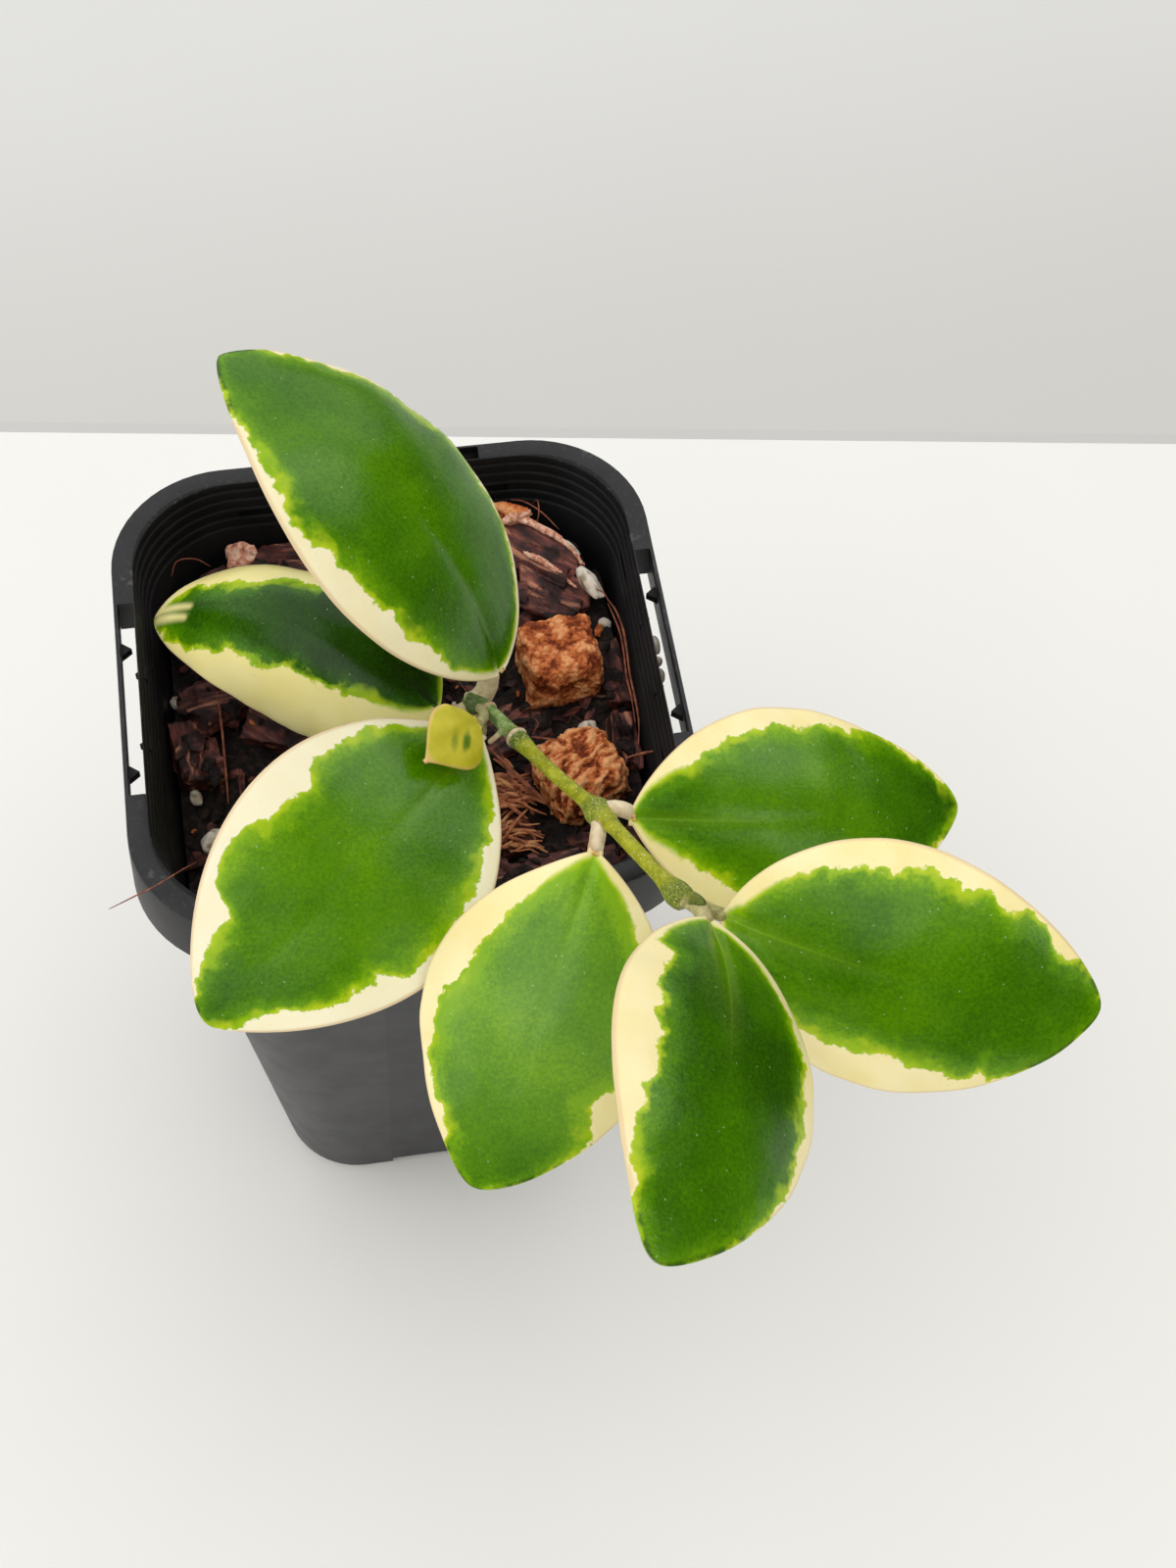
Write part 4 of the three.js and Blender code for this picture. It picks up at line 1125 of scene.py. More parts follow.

# yaw is the heading of the midrib seen from above, pitch its mean climb, roll the lift of the left
# half, bend and sway how far pitch and yaw turn from base to tip, and cup how far the halves fold,
# in degrees. Each half's outline goes as u^base (1 - u)^tip. cream gives the width of the cream
# margin in millimetres at shares of the way from base to tip, for the left and the right half, and
# streaks lists cream streaks in the green: two ends and a half width, in millimetres from the base
# along the midrib and across it. tone deepens the green at the base, the middle and the tip, and
# lightens it where it is below zero; it is partly the green's own depth and partly painted shade,
# as at the base of leaf_2, painted with the shadow of leaf_1. white makes the cream whiter, or
# yellower where it is below zero, rib is how clearly the midrib shows, round is how many millimetres
# the tip is rounded by, and crease is how deep the blade folds along its midrib, in millimetres.
# Last, bloom is a painted sheen, a paler, bluer green, at the base, the middle and the tip.
LEAVES = {
    "leaf_1": {
        "base": (14.3, -9.4, 134), "node": FIRST_NODE, "length": 65.8, "left": 20, "right": 19.3,
        "yaw": 137, "pitch": 39.5, "roll": 16, "bend": 72.5, "sway": 20, "cup": 26,
        "base_shape": (0.82, 0.68), "tip_shape": (0.87, 0.8), "blunt": 0.8,
        "cream": (
            ((0, 1.8), (0.15, 2.2), (0.2, 3.3), (0.25, 3.8), (0.3, 3.2), (0.35, 4.6), (0.45, 4.2),
             (0.55, 3.6), (0.6, 2.3), (0.65, 1.2), (0.7, 2.2), (0.8, 1.2), (0.85, 1.5), (0.88, 0.3),
             (0.93, -0.5), (1, -1)),
            ((0, 1.9), (0.1, 1.9), (0.2, 1.3), (0.3, 0.9), (0.5, 0.4), (0.6, 0.3), (0.7, 0.6),
             (0.8, 1.5), (0.85, 1.3), (0.9, 0.5), (0.95, -0.4), (1, -1)),
        ),
        "tone": (0.35, -0.1, -0.1), "white": 0.35, "rib": 0.12, "round": 0.35, "crease": 0.55,
    },
    "leaf_2": {
        "base": (4.7, -10.4, 127), "node": FIRST_NODE, "length": 55.3, "left": 18, "right": 18,
        "yaw": 146, "pitch": -8.5, "roll": -11, "bend": 80, "sway": 17, "cup": 83,
        "base_shape": (0.46, 0.87), "tip_shape": (0.82, 1.02), "blunt": 0.9,
        "cream": (
            ((0, 6), (0.055, 7.8), (0.105, 9.4), (0.19, 10.8), (0.36, 10.8), (0.43, 11.1), (0.49, 8.9),
             (0.54, 8.7), (0.62, 8.1), (0.7, 6.6), (0.77, 4.2), (0.845, 2.6), (0.91, 1.7), (1, 0.3)),
            ((0, 0.3), (0.3, 0.6), (0.42, 5), (0.46, 10.8), (0.56, 10), (0.59, 10.2), (0.63, 11.5),
             (0.74, 9.2), (0.84, 5.1), (0.89, 3.7), (0.945, 2.4), (1, 1)),
        ),
        "streaks": (((53.5, -0.6), (45.6, 0), 0.6), ((53.5, 0.8), (46.2, 1.7), 0.7)),
        # The deep tone at this leaf's base is painted shade, the shadow of leaf_1.
        "tone": (0.95, 0.35, 0.05), "white": -0.3, "rib": 0, "round": 0.5,
    },
    "leaf_3": {
        "base": (10.1, -18, 131.5), "node": FIRST_NODE, "length": 61.5, "left": 18.5, "right": 19,
        "yaw": -138, "pitch": -4, "roll": -25.5, "bend": 47, "sway": -26.5, "cup": 2.5,
        "base_shape": (0.96, 0.84), "tip_shape": (1, 0.86), "blunt": 1.2,
        "cream": (
            ((0, 1), (0.1, 1.8), (0.15, 1.5), (0.2, 2.1), (0.25, 3.2), (0.55, 3), (0.6, 2.5),
             (0.63, 4.5), (0.7, 4), (0.75, 3), (0.85, 3.4), (0.9, 2.7), (0.95, 0.8), (1, -0.5)),
            ((0, 1.5), (0.15, 1.9), (0.2, 1.4), (0.3, 2.2), (0.4, 3.6), (0.45, 6.2), (0.5, 5),
             (0.55, 5.3), (0.6, 3.6), (0.65, 2.2), (0.75, 2.2), (0.78, 6), (0.82, 4.5), (0.9, 2.3),
             (0.95, 0.6), (1, -0.8)),
        ),
        "tone": (0.15, -0.28, 0.05), "white": 0.55, "rib": 0.35, "round": 0.9,
    },
    "leaf_5": {
        "base": (27.7, -41.4, 142.2), "node": SECOND_NODE, "length": 55.2, "left": 17.4, "right": 15.2,
        "yaw": 6, "pitch": -17, "roll": 28, "bend": 26, "sway": 31, "cup": 30,
        "base_shape": (0.73, 0.86), "tip_shape": (0.92, 1.07), "blunt": 1.5,
        "cream": (
            ((0, 0.8), (0.05, 1.3), (0.1, 2.6), (0.15, 4), (0.3, 3.9), (0.4, 3.2), (0.5, 3.5),
             (0.6, 1.8), (0.65, 2.2), (0.7, 1.8), (0.75, 0.3), (0.8, 0.1), (0.85, 1.2), (0.88, 0.4),
             (0.92, 1.7), (0.95, 0.2), (1, -0.8)),
            ((0, 0.8), (0.05, 1.6), (0.1, 3.2), (0.2, 4.2), (0.35, 3.6), (0.6, 2.6), (0.8, 1), (0.9, 0.2),
             (1, -0.8)),
        ),
        "tone": (0.28, -0.3, 0.3), "white": 0, "rib": 0.7, "round": 1.3,
    },
    "leaf_6": {
        "base": (36.8, -60.9, 147), "node": THIRD_NODE, "length": 53, "left": 17.2, "right": 17.8,
        "yaw": -23.5, "pitch": 0, "roll": 45.5, "bend": 37, "sway": 43, "cup": 27,
        "base_shape": (0.67, 0.71), "tip_shape": (0.86, 0.89), "blunt": 1.1,
        "cream": (
            ((0, 1.2), (0.05, 3.8), (0.15, 3.7), (0.25, 3.7), (0.35, 4), (0.4, 4.3), (0.45, 3.4),
             (0.5, 2.8), (0.6, 3.2), (0.65, 2), (0.68, 3.2), (0.72, 2.4), (0.75, 0.9), (0.8, 0.7),
             (0.83, 2.5), (0.87, 1.8), (0.91, 0.3), (1, -0.8)),
            ((0, 1.5), (0.15, 4), (0.3, 5.2), (0.4, 6), (0.5, 6), (0.55, 5), (0.6, 4.2), (0.65, 3.3),
             (0.69, 1.9), (0.72, 3), (0.75, 0.7), (0.82, -0.3), (1, -0.8)),
        ),
        "tone": (-0.05, -0.15, 0.08), "white": 0, "rib": 0.9, "round": 0.8,
    },
    "leaf_7": {
        "base": (34, -63.6, 151.5), "node": THIRD_NODE, "length": 54.3, "left": 17, "right": 16,
        "yaw": -108.5, "pitch": 10, "roll": -34.5, "bend": 31, "sway": -45, "cup": 22,
        "base_shape": (0.84, 0.69), "tip_shape": (1, 0.85), "blunt": 1,
        "cream": (
            ((0, 2.2), (0.2, 2.3), (0.3, 2.6), (0.5, 3), (0.55, 2.6), (0.6, 1.8), (0.65, 1),
             (0.7, 0.6), (0.8, 0.2), (0.88, -0.5), (1, -1)),
            ((0, 1.3), (0.16, 1.5), (0.2, 4.8), (0.3, 4.8), (0.4, 5.8), (0.5, 6), (0.6, 5.5),
             (0.65, 4), (0.7, 2.9), (0.75, 1.7), (0.85, 0.8), (0.92, -0.2), (1, -1)),
        ),
        "tone": (0.2, 0.22, -0.12), "white": 0.1, "rib": 0.9, "round": 1.1,
    },
    "leaf_8": {
        "base": (22.4, -45.8, 142), "node": SECOND_NODE, "length": 51, "left": 18, "right": 18.7,
        "yaw": -122, "pitch": -31, "roll": -6.5, "bend": 38, "sway": -16.5, "cup": 40,
        "base_shape": (0.92, 0.94), "tip_shape": (1.07, 1.12), "blunt": 2.5,
        "cream": (
            ((0, 1), (0.05, 2.2), (0.15, 3), (0.2, 4.1), (0.3, 3.5), (0.55, 3.6), (0.65, 5.5),
             (0.7, 3), (0.75, 0.8), (0.82, -0.2), (1, -1)),
            ((0, 1), (0.05, 2), (0.1, 3.2), (0.15, 4.5), (0.2, 5.6), (0.3, 6.5), (0.45, 6.1),
             (0.5, 3.8), (0.6, 3), (0.65, 2.9), (0.7, 1.4), (0.75, 1.4), (0.8, 2.5), (0.85, 2.2),
             (0.9, 0.5), (0.95, -0.4), (1, -1)),
        ),
        "bloom": (0, 0.12, 0), "tone": (-0.2, -0.45, -0.05), "white": 0.05, "rib": 0.55, "round": 1.1,
    },
    "young_leaf": {
        "base": (9.4, -20.3, 138), "node": FIRST_NODE, "length": 11.2, "left": 5.3, "right": 5.2,
        "yaw": -142, "pitch": 8, "roll": -32.5, "bend": 40, "sway": -14, "cup": 24,
        "base_shape": (0.87, 0.89), "tip_shape": (1.35, 1.4), "blunt": 0.1,
        "cream": (((0, 0.4), (1, 0.4)), ((0, 0.4), (1, 0.4))),
        "tone": (0, 0, 0), "white": 0, "rib": 0, "round": 0.15,
    },
}


def heading(leaf, t):
    """Which way the midrib runs at t from base to tip."""
    pitch = math.radians(leaf["pitch"] - leaf["bend"] * (t - 0.5))
    yaw = math.radians(leaf["yaw"] + leaf["sway"] * (t - 0.5))
    return Vector((math.cos(pitch) * math.cos(yaw), math.cos(pitch) * math.sin(yaw), math.sin(pitch)))


def midrib(leaf, u):
    steps = [heading(leaf, (i + 0.5) / MIDRIB_SLICES * u) for i in range(MIDRIB_SLICES)]
    return Vector(leaf["base"]) + sum(steps, Vector()) * (leaf["length"] * u / MIDRIB_SLICES)


def outline_share(leaf, u, side):
    """Share of a half's full width at u, for the left half (0) or the right half (1)."""
    base = leaf["base_shape"][side]
    tip = leaf["tip_shape"][side]
    widest = base / (base + tip)
    return u ** base * (1 - u) ** tip / (widest ** base * (1 - widest) ** tip)


def half_width(leaf, u, side):
    full = leaf["right" if side else "left"]
    rounding = leaf["blunt"] * u ** 4 * math.sqrt(1 - u ** 8)
    least = BASE_HALF_WIDTH + (TIP_HALF_WIDTH - BASE_HALF_WIDTH) * u
    return max(full * outline_share(leaf, u, side) + rounding, least)


def rounded(leaf, u):
    """The place on the pointed outline whose width the blade has at u, so that its tip is round."""
    gap = max(0, (blade_end(leaf) - u) * leaf["length"])
    return 1 - math.sqrt(gap * (gap + 2 * leaf["round"])) / leaf["length"]


def blade_end(leaf):
    """Where the rounded blade ends on the midrib, short of the pointed outline's tip."""
    return 1 - leaf["round"] / leaf["length"]


def blade_frame(leaf, u):
    """Midrib point, direction across to the left, and outward direction at u."""
    along = heading(leaf, u)
    yaw = math.atan2(along.y, along.x)
    level = Vector((-math.sin(yaw), math.cos(yaw), 0))
    upright = along.cross(level)
    roll = math.radians(leaf["roll"])
    across = level * math.cos(roll) + upright * math.sin(roll)
    return midrib(leaf, u), across, along.cross(across)


def value_at(points, u):
    """A value at u, such as the cream margin's width, straight between the places where it is given."""
    for (u0, w0), (u1, w1) in zip(points, points[1:]):
        if u <= u1:
            return w0 + (w1 - w0) * (u - u0) / (u1 - u0)
    return points[-1][1]


def streak_gap(leaf, along, reach):
    """How far a place on the blade lies outside the nearest cream streak."""
    gap = 99
    here = Vector((along, reach))
    for start, end, half in leaf.get("streaks", ()):
        start, end = Vector(start), Vector(end)
        share = max(0, min(1, (here - start).dot(end - start) / (end - start).length_squared))
        gap = min(gap, (here - start.lerp(end, share)).length - half * (1 - 0.6 * share))
    return gap


def reaches(half):
    """Distances from the midrib to the columns of one half, closest together at the rim."""
    rim = [half * (1 - min(0.12, d / half)) for d in EDGE_STEPS]
    inner = [rim[-1] * i / (HALF_COLUMNS - len(rim)) for i in range(HALF_COLUMNS - len(rim))]
    return inner + rim[::-1]


def blade_row(leaf, u, seed):
    """Upper and lower points across the blade at u, each with its pattern values."""
    middle, across, out = blade_frame(leaf, u)
    curl = math.radians(leaf["cup"]) / ((leaf["left"] + leaf["right"]) / 2)
    halves = [half_width(leaf, rounded(leaf, u), side) for side in (0, 1)]
    left, right = [reaches(half) for half in halves]
    upper, lower = [], []
    tone = value_at(tuple(zip((0, 0.5, 1), leaf["tone"])), u)
    bloom = value_at(tuple(zip((0, 0.5, 1), leaf.get("bloom", (0, 0, 0)))), u)
    for reach in left[:0:-1] + [-r for r in right]:
        side = 0 if reach >= 0 else 1
        half = halves[side]
        from_edge = half - abs(reach)
        swing = curl * reach
        point = middle + across * (math.sin(swing) / curl) - out * ((1 - math.cos(swing)) / curl)
        normal = out * math.cos(swing) + across * math.sin(swing)
        share = outline_share(leaf, u, 0) * (1 - (reach / half) ** 2)
        thick = EDGE_THICK + (MIDRIB_THICK - EDGE_THICK) * share
        closing = min(1, from_edge / (EDGE_STEPS[-1] * 1.02))
        thick *= max(0.05, math.sqrt(1 - (1 - closing) ** 2))
        ripple = 0.35 * noise.noise(Vector((u * 9, side * 5 + 2, seed))) * (abs(reach) / half) ** 2
        sag = 0.25 * noise.noise(Vector((u * leaf["length"] / 9, reach / 9, seed + 5)))
        groove = GROOVE * math.exp(-(reach / 0.8) ** 2) * max(0, 1 - 1.15 * u)
        groove += leaf.get("crease", 0) * math.exp(-(reach / 1.8) ** 2) * max(0, 1 - 1.6 * u)
        keel = 0.3 * math.exp(-(reach / 1.1) ** 2) * max(0, 1 - u)
        inland = from_edge - value_at(leaf["cream"][side], u)
        streak = streak_gap(leaf, u * leaf["length"], reach)
        point = point + normal * (ripple + sag) * min(1, half / 6)
        place_on_blade = (u * leaf["length"], reach, u)
        look = (tone, leaf["white"], leaf["rib"])
        values = (inland, from_edge, streak, place_on_blade, look, bloom)
        upper.append((point + normal * (thick / 2 - groove * min(1, from_edge)), values, 0))
        lower.append((point - normal * (thick / 2 + keel * min(1, from_edge)), values, 1))
    return upper + lower[::-1]


def wrap(name, rows):
    """Closed skin through rows of points that run round it: a grid, wrapped, seamed and capped."""
    around = len(rows[0])
    bpy.ops.mesh.primitive_grid_add(x_subdivisions=around, y_subdivisions=len(rows) - 1, size=MM)
    piece = bpy.context.active_object
    piece.name = name
    inland, from_edge, streak, places, looks, bloom, under = add_values(
        piece, inland="FLOAT", from_edge="FLOAT", streak="FLOAT", blade="FLOAT_VECTOR",
        look="FLOAT_VECTOR", bloom="FLOAT", under="FLOAT",
    )
    for i, point in enumerate(piece.data.vertices):
        co, values, below = rows[i // (around + 1)][i % (around + 1) % around]
        point.co = co * MM
        inland[i].value = values[0]
        from_edge[i].value = values[1]
        streak[i].value = values[2]
        places[i].vector = values[3]
        looks[i].vector = values[4]
        bloom[i].value = values[5]
        under[i].value = below
    bpy.ops.object.mode_set(mode="EDIT")
    bpy.ops.mesh.select_all(action="SELECT")
    bpy.ops.mesh.remove_doubles(threshold=1e-7)
    bpy.ops.mesh.select_all(action="DESELECT")
    bpy.ops.mesh.select_non_manifold()
    bpy.ops.mesh.edge_face_add()
    bpy.ops.mesh.select_all(action="SELECT")
    bpy.ops.mesh.normals_make_consistent(inside=False)
    bpy.ops.object.mode_set(mode="OBJECT")
    return piece


def blade(name, leaf, seed):
    rows = []
    for row in range(BLADE_ROWS + 1):
        u = blade_end(leaf) * (1 - math.cos(math.pi * row / BLADE_ROWS)) / 2
        rows.append(blade_row(leaf, u, seed))
    return wrap(name, rows)


flesh, tree, shader = new_finish("variegated_leaf", Roughness=0.24, Specular_IOR_Level=0.26)
where = place(tree)
on_blade = node(tree, "ShaderNodeSeparateXYZ", {0: attribute(tree, "blade", "Vector")})
from_base, reach, share = [on_blade.outputs[axis] for axis in "XYZ"]
own_look = node(tree, "ShaderNodeSeparateXYZ", {0: attribute(tree, "look", "Vector")})
tone, white, rib = [own_look.outputs[axis] for axis in "XYZ"]
under = attribute(tree, "under")
from_edge = attribute(tree, "from_edge")
calm = fade(tree, from_base, 3, 14, 0.25, 1)
scallops = sums(tree, "MULTIPLY", sums(tree, "SUBTRACT", grain(tree, where, 2.6, 1), 0.5), 3.0)
ragged = sums(tree, "MULTIPLY", sums(tree, "SUBTRACT", grain(tree, where, 0.8, 3, 0.6), 0.5), 1.7)
uneven = sums(tree, "MULTIPLY", sums(tree, "ADD", scallops, ragged), calm)
inland = sums(tree, "ADD", attribute(tree, "inland"), uneven)

fan = node(tree, "ShaderNodeCombineXYZ", {0: sums(tree, "MULTIPLY", from_base, 0.05), 1: reach})
rays = sums(tree, "SUBTRACT", grain(tree, fan.outputs[0], 1.2, 3, 0.6), 0.5)
rays = sums(tree, "MULTIPLY", rays, fade(tree, from_base, 3, 20, 0.5, 0.06))
clouds = sums(tree, "SUBTRACT", grain(tree, where, 11, 2, 0.5), 0.5)
depth = sums(tree, "ADD", fade(tree, inland, 0.3, 4.5, 0, 0.42), fade(tree, share, 0, 0.35, 0, 0.25))
flecks = sums(tree, "SUBTRACT", grain(tree, where, 0.5, 3, 0.7), 0.5)
lumpy = sums(tree, "ADD", sums(tree, "MULTIPLY", clouds, 0.7), sums(tree, "MULTIPLY", flecks, 0.75))
depth = sums(tree, "ADD", depth, lumpy)
# Each leaf's tone goes in here: the green's own depth, and painted shade, such as leaf_1's shadow on leaf_2.
depth = sums(tree, "ADD", sums(tree, "ADD", depth, rays), tone)
stops = [
    (0.0, tint(126, 172, 4)), (0.24, tint(90, 140, 2)), (0.45, tint(64, 114, 1)), (0.7, tint(38, 78, 1)),
    (1.0, tint(20, 42, 3)),
]
green = ramp(tree, sums(tree, "MULTIPLY", depth, 0.7), stops)
# Towards the tip the green is painted darker near the edge: painted shade where the blade curls away from
# the light.
shaded_leaf_rim = sums(tree, "MULTIPLY", fade(tree, from_edge, 0.2, 1.4, 0.75, 0), fade(tree, share, 0.5, 0.8))
green = blend(tree, shaded_leaf_rim, green, tint(26, 56, 6))
cream = ramp(tree, grain(tree, where, 8, 2), [(0.35, tint(245, 228, 160)), (0.65, tint(250, 237, 182))])
cream = blend(tree, sums(tree, "MAXIMUM", white, 0), cream, tint(247, 243, 224))
cream = blend(tree, sums(tree, "MULTIPLY", sums(tree, "MINIMUM", white, 0), -1), cream, tint(236, 228, 120))
fringe = ramp(tree, grain(tree, where, 3, 3), [(0.35, tint(186, 204, 26)), (0.65, tint(138, 182, 6))])
soft = fade(tree, from_base, 2, 12, 0.7, 0.16)
wide_fringe = fade(tree, grain(tree, where, 8, 2), 0.5, 0.7, 1.3, 3.6)
entering = node(tree, "ShaderNodeMapRange", {
    "Value": inland, "From Min": sums(tree, "MULTIPLY", soft, -1), "From Max": soft,
}, interpolation_type="SMOOTHSTEP").outputs["Result"]
skin = blend(tree, entering, cream, fringe)
skin = blend(tree, fade(tree, inland, 0.1, wide_fringe), skin, green)
skin = blend(tree, fade(tree, attribute(tree, "streak"), -0.5, 0.8, 0.85, 0), skin, cream)

# Painted sheen: leaf_8's green is painted paler and bluer across its middle, as a painted reflection of the
# lamps.
painted_sheen_share = sums(tree, "MULTIPLY", attribute(tree, "bloom"), fade(tree, inland, 0, 1))
skin = blend(tree, painted_sheen_share, skin, tint(158, 192, 138))
rib_line = fade(tree, sums(tree, "ABSOLUTE", reach), 0.06, 0.34, 1, 0)
rib_fades = fade(tree, share, 0.02, 0.6, 0.7, 0)
rib_line = sums(tree, "MULTIPLY", sums(tree, "MULTIPLY", rib_line, rib_fades), rib)
rib_glow = fade(tree, sums(tree, "ABSOLUTE", reach), 0, 2.4, 0.3, 0)
rib_glow = sums(tree, "MULTIPLY", sums(tree, "MULTIPLY", rib_glow, rib_fades), rib)
rib_share = sums(tree, "MAXIMUM", sums(tree, "MULTIPLY", rib_line, 0.6), rib_glow)
skin = blend(tree, rib_share, skin, tint(150, 190, 40))
cells = node(tree, "ShaderNodeTexVoronoi", {"Vector": where, "Scale": 1 / 1.5})
speck = fade(tree, cells.outputs["Distance"], 0.05, 0.12, 1, 0)
chosen = fade(tree, cells.outputs["Color"], 0.42, 0.7)
specks = sums(tree, "MULTIPLY", sums(tree, "MULTIPLY", speck, chosen), 0.4)
skin = blend(tree, specks, skin, tint(196, 214, 160))
in_cream = fade(tree, inland, -0.6, 0.1, 1, 0)
edge_line = sums(tree, "MULTIPLY", fade(tree, from_edge, 0.15, 0.75, 1, 0), in_cream)
skin = blend(tree, sums(tree, "MULTIPLY", edge_line, 0.7), skin, tint(222, 190, 148))
pale = blend(tree, 0.45, skin, tint(168, 190, 112))
tree.links.new(blend(tree, under, skin, pale), shader.inputs["Base Color"])
tree.links.new(fade(tree, grain(tree, where, 5, 3), 0.3, 0.7, 0.14, 0.2), shader.inputs["Roughness"])
swells = relief(tree, shader, grain(tree, where, 6, 2), 0.15)
relief(tree, shader, grain(tree, where, 0.5, 3, 0.7), 0.045, swells)

leaf_names = [name for name in LEAVES if name != "young_leaf"]
for seed, name in enumerate(leaf_names):
    piece = blade(name + "_blade", LEAVES[name], seed * 3.7)
    dress(piece, flesh, "leaf", 60)
    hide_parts(name)

# Petioles. Short thick stalks, beige and a little pink, that carry the leaves. Each grows out of a
# node and flattens into the base of its blade, where four of them show a pair of golden glands.
PETIOLE_RADIUS = 1.12
THICK_PETIOLES = {"leaf_1": 1.6, "leaf_6": 0.95, "young_leaf": 0.7}
PETIOLE_SINK = {"leaf_1": 1.9, "leaf_6": 1.1, "leaf_7": 1.2}
PETIOLE_STEPS = 44
PETIOLE_SIDES = 20
PETIOLE_ENDS_AT = 0.03
PETIOLE_GREEN = {
    "leaf_1": 0.15, "leaf_2": 0.3, "leaf_3": 0.9, "leaf_6": 0.95, "leaf_7": 0.7, "young_leaf": 0.8,
}
PETIOLE_ARCH = {
    "leaf_1": (-1.6, 0, -1), "leaf_3": (-0.5, 0, -1.8), "leaf_5": (0, 1.6, 2), "leaf_8": (0, 0.4, 0.6),
    "young_leaf": (0, 0, -0.8),
}
GLANDED_LEAVES = ("leaf_1", "leaf_3", "leaf_5", "leaf_8")
GLAND_RADIUS = 0.3
GLANDS_AT = 0.012


def petiole(name, leaf, radius):
    """A stalk from the node into the midrib, round where it leaves the stem and flat in the blade."""
    start = Vector(leaf["node"]) - Vector((0, 0, 0.5))
    end, across, out = blade_frame(leaf, PETIOLE_ENDS_AT)
    end = end - out * PETIOLE_SINK.get(name.removesuffix("_petiole"), 0.75)
    arch = Vector(PETIOLE_ARCH.get(name.removesuffix("_petiole"), out * 0.9))
    bend = Vector(leaf["base"]) - heading(leaf, 0) * ((end - start).length / 3) + arch
    walk = []
    for i in range(PETIOLE_STEPS + 1):
        t = i / PETIOLE_STEPS
        walk.append(start * (1 - t) ** 2 + bend * (2 * t * (1 - t)) + end * t ** 2)
    into_blade = PETIOLE_ENDS_AT * leaf["length"] / (end - start).length
    rings = []
    for i, point in enumerate(walk):
        share = i / PETIOLE_STEPS
        ahead = (walk[min(i + 1, PETIOLE_STEPS)] - walk[max(i - 1, 0)]).normalized()
        side = (across - ahead * across.dot(ahead)).normalized()
        other = ahead.cross(side)
        merged = max(0, min(1, (share - 1 + into_blade) / into_blade))
        full = radius * (1 + 0.3 * math.exp(-share * 8)) * (1 + 0.05 * noise.noise(point * 1.3))
        wide = full * max(0.2, math.sqrt(1 - merged ** 2.5))
        thick = full * max(0.1, 0.9 * (1 - merged) + 0.1)
        angles = [2 * math.pi * k / PETIOLE_SIDES for k in range(PETIOLE_SIDES)]
        rings.append([point + side * math.cos(a) * wide + other * math.sin(a) * thick for a in angles])
    made = extrude_through(name, rings)
    greenness, = add_values(made, greenness="FLOAT")
    for value in greenness:
        value.value = PETIOLE_GREEN.get(name.removesuffix("_petiole"), 0)
    return made


def glands(name, leaf):
    """Two small domes side by side where the midrib starts."""
    domes = []
    for side in (-1, 1):
        middle, across, out = blade_frame(leaf, GLANDS_AT)
        bpy.ops.mesh.primitive_uv_sphere_add(segments=16, ring_count=10, radius=GLAND_RADIUS * MM)
        dome = bpy.context.active_object
        at = middle + across * side * GLAND_RADIUS * 0.8 + out * EDGE_THICK * 0.55
        turn = out.to_track_quat("Z", "Y").to_matrix().to_4x4()
        flat = Matrix.Diagonal((1, 1, 0.6, 1))
        dome.data.transform(Matrix.Translation(at * MM) @ turn @ flat)
        domes.append(dome)
    return join(domes, name)


stalk, tree, shader = new_finish("petiole_skin", Roughness=0.5, Specular_IOR_Level=0.35, Sheen_Weight=0.1)
where = place(tree)
stops = [(0.3, tint(192, 164, 128)), (0.5, tint(212, 192, 156)), (0.7, tint(226, 212, 178))]
skin = ramp(tree, grain(tree, where, 1.4, 4, 0.6), stops)
green = ramp(tree, grain(tree, where, 0.8, 4, 0.6), [(0.35, tint(120, 108, 46)), (0.65, tint(172, 172, 98))])
tree.links.new(blend(tree, attribute(tree, "greenness"), skin, green), shader.inputs["Base Color"])
relief(tree, shader, grain(tree, where, 0.5, 3, 0.6), 0.05)
amber, tree, shader = new_finish("gland_amber", Roughness=0.3)
stops = [(0.35, tint(188, 134, 52)), (0.65, tint(232, 200, 118))]
colour = ramp(tree, grain(tree, place(tree), 0.5, 2), stops)
tree.links.new(colour, shader.inputs["Base Color"])
for name, leaf in LEAVES.items():
    piece = petiole(name + "_petiole", leaf, THICK_PETIOLES.get(name, PETIOLE_RADIUS))
    dress(piece, stalk, "young_leaf" if name == "young_leaf" else "leaf", 60)
    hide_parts(name)
    if name in GLANDED_LEAVES:
        dress(glands(name + "_glands", leaf), amber, "leaf", 60)

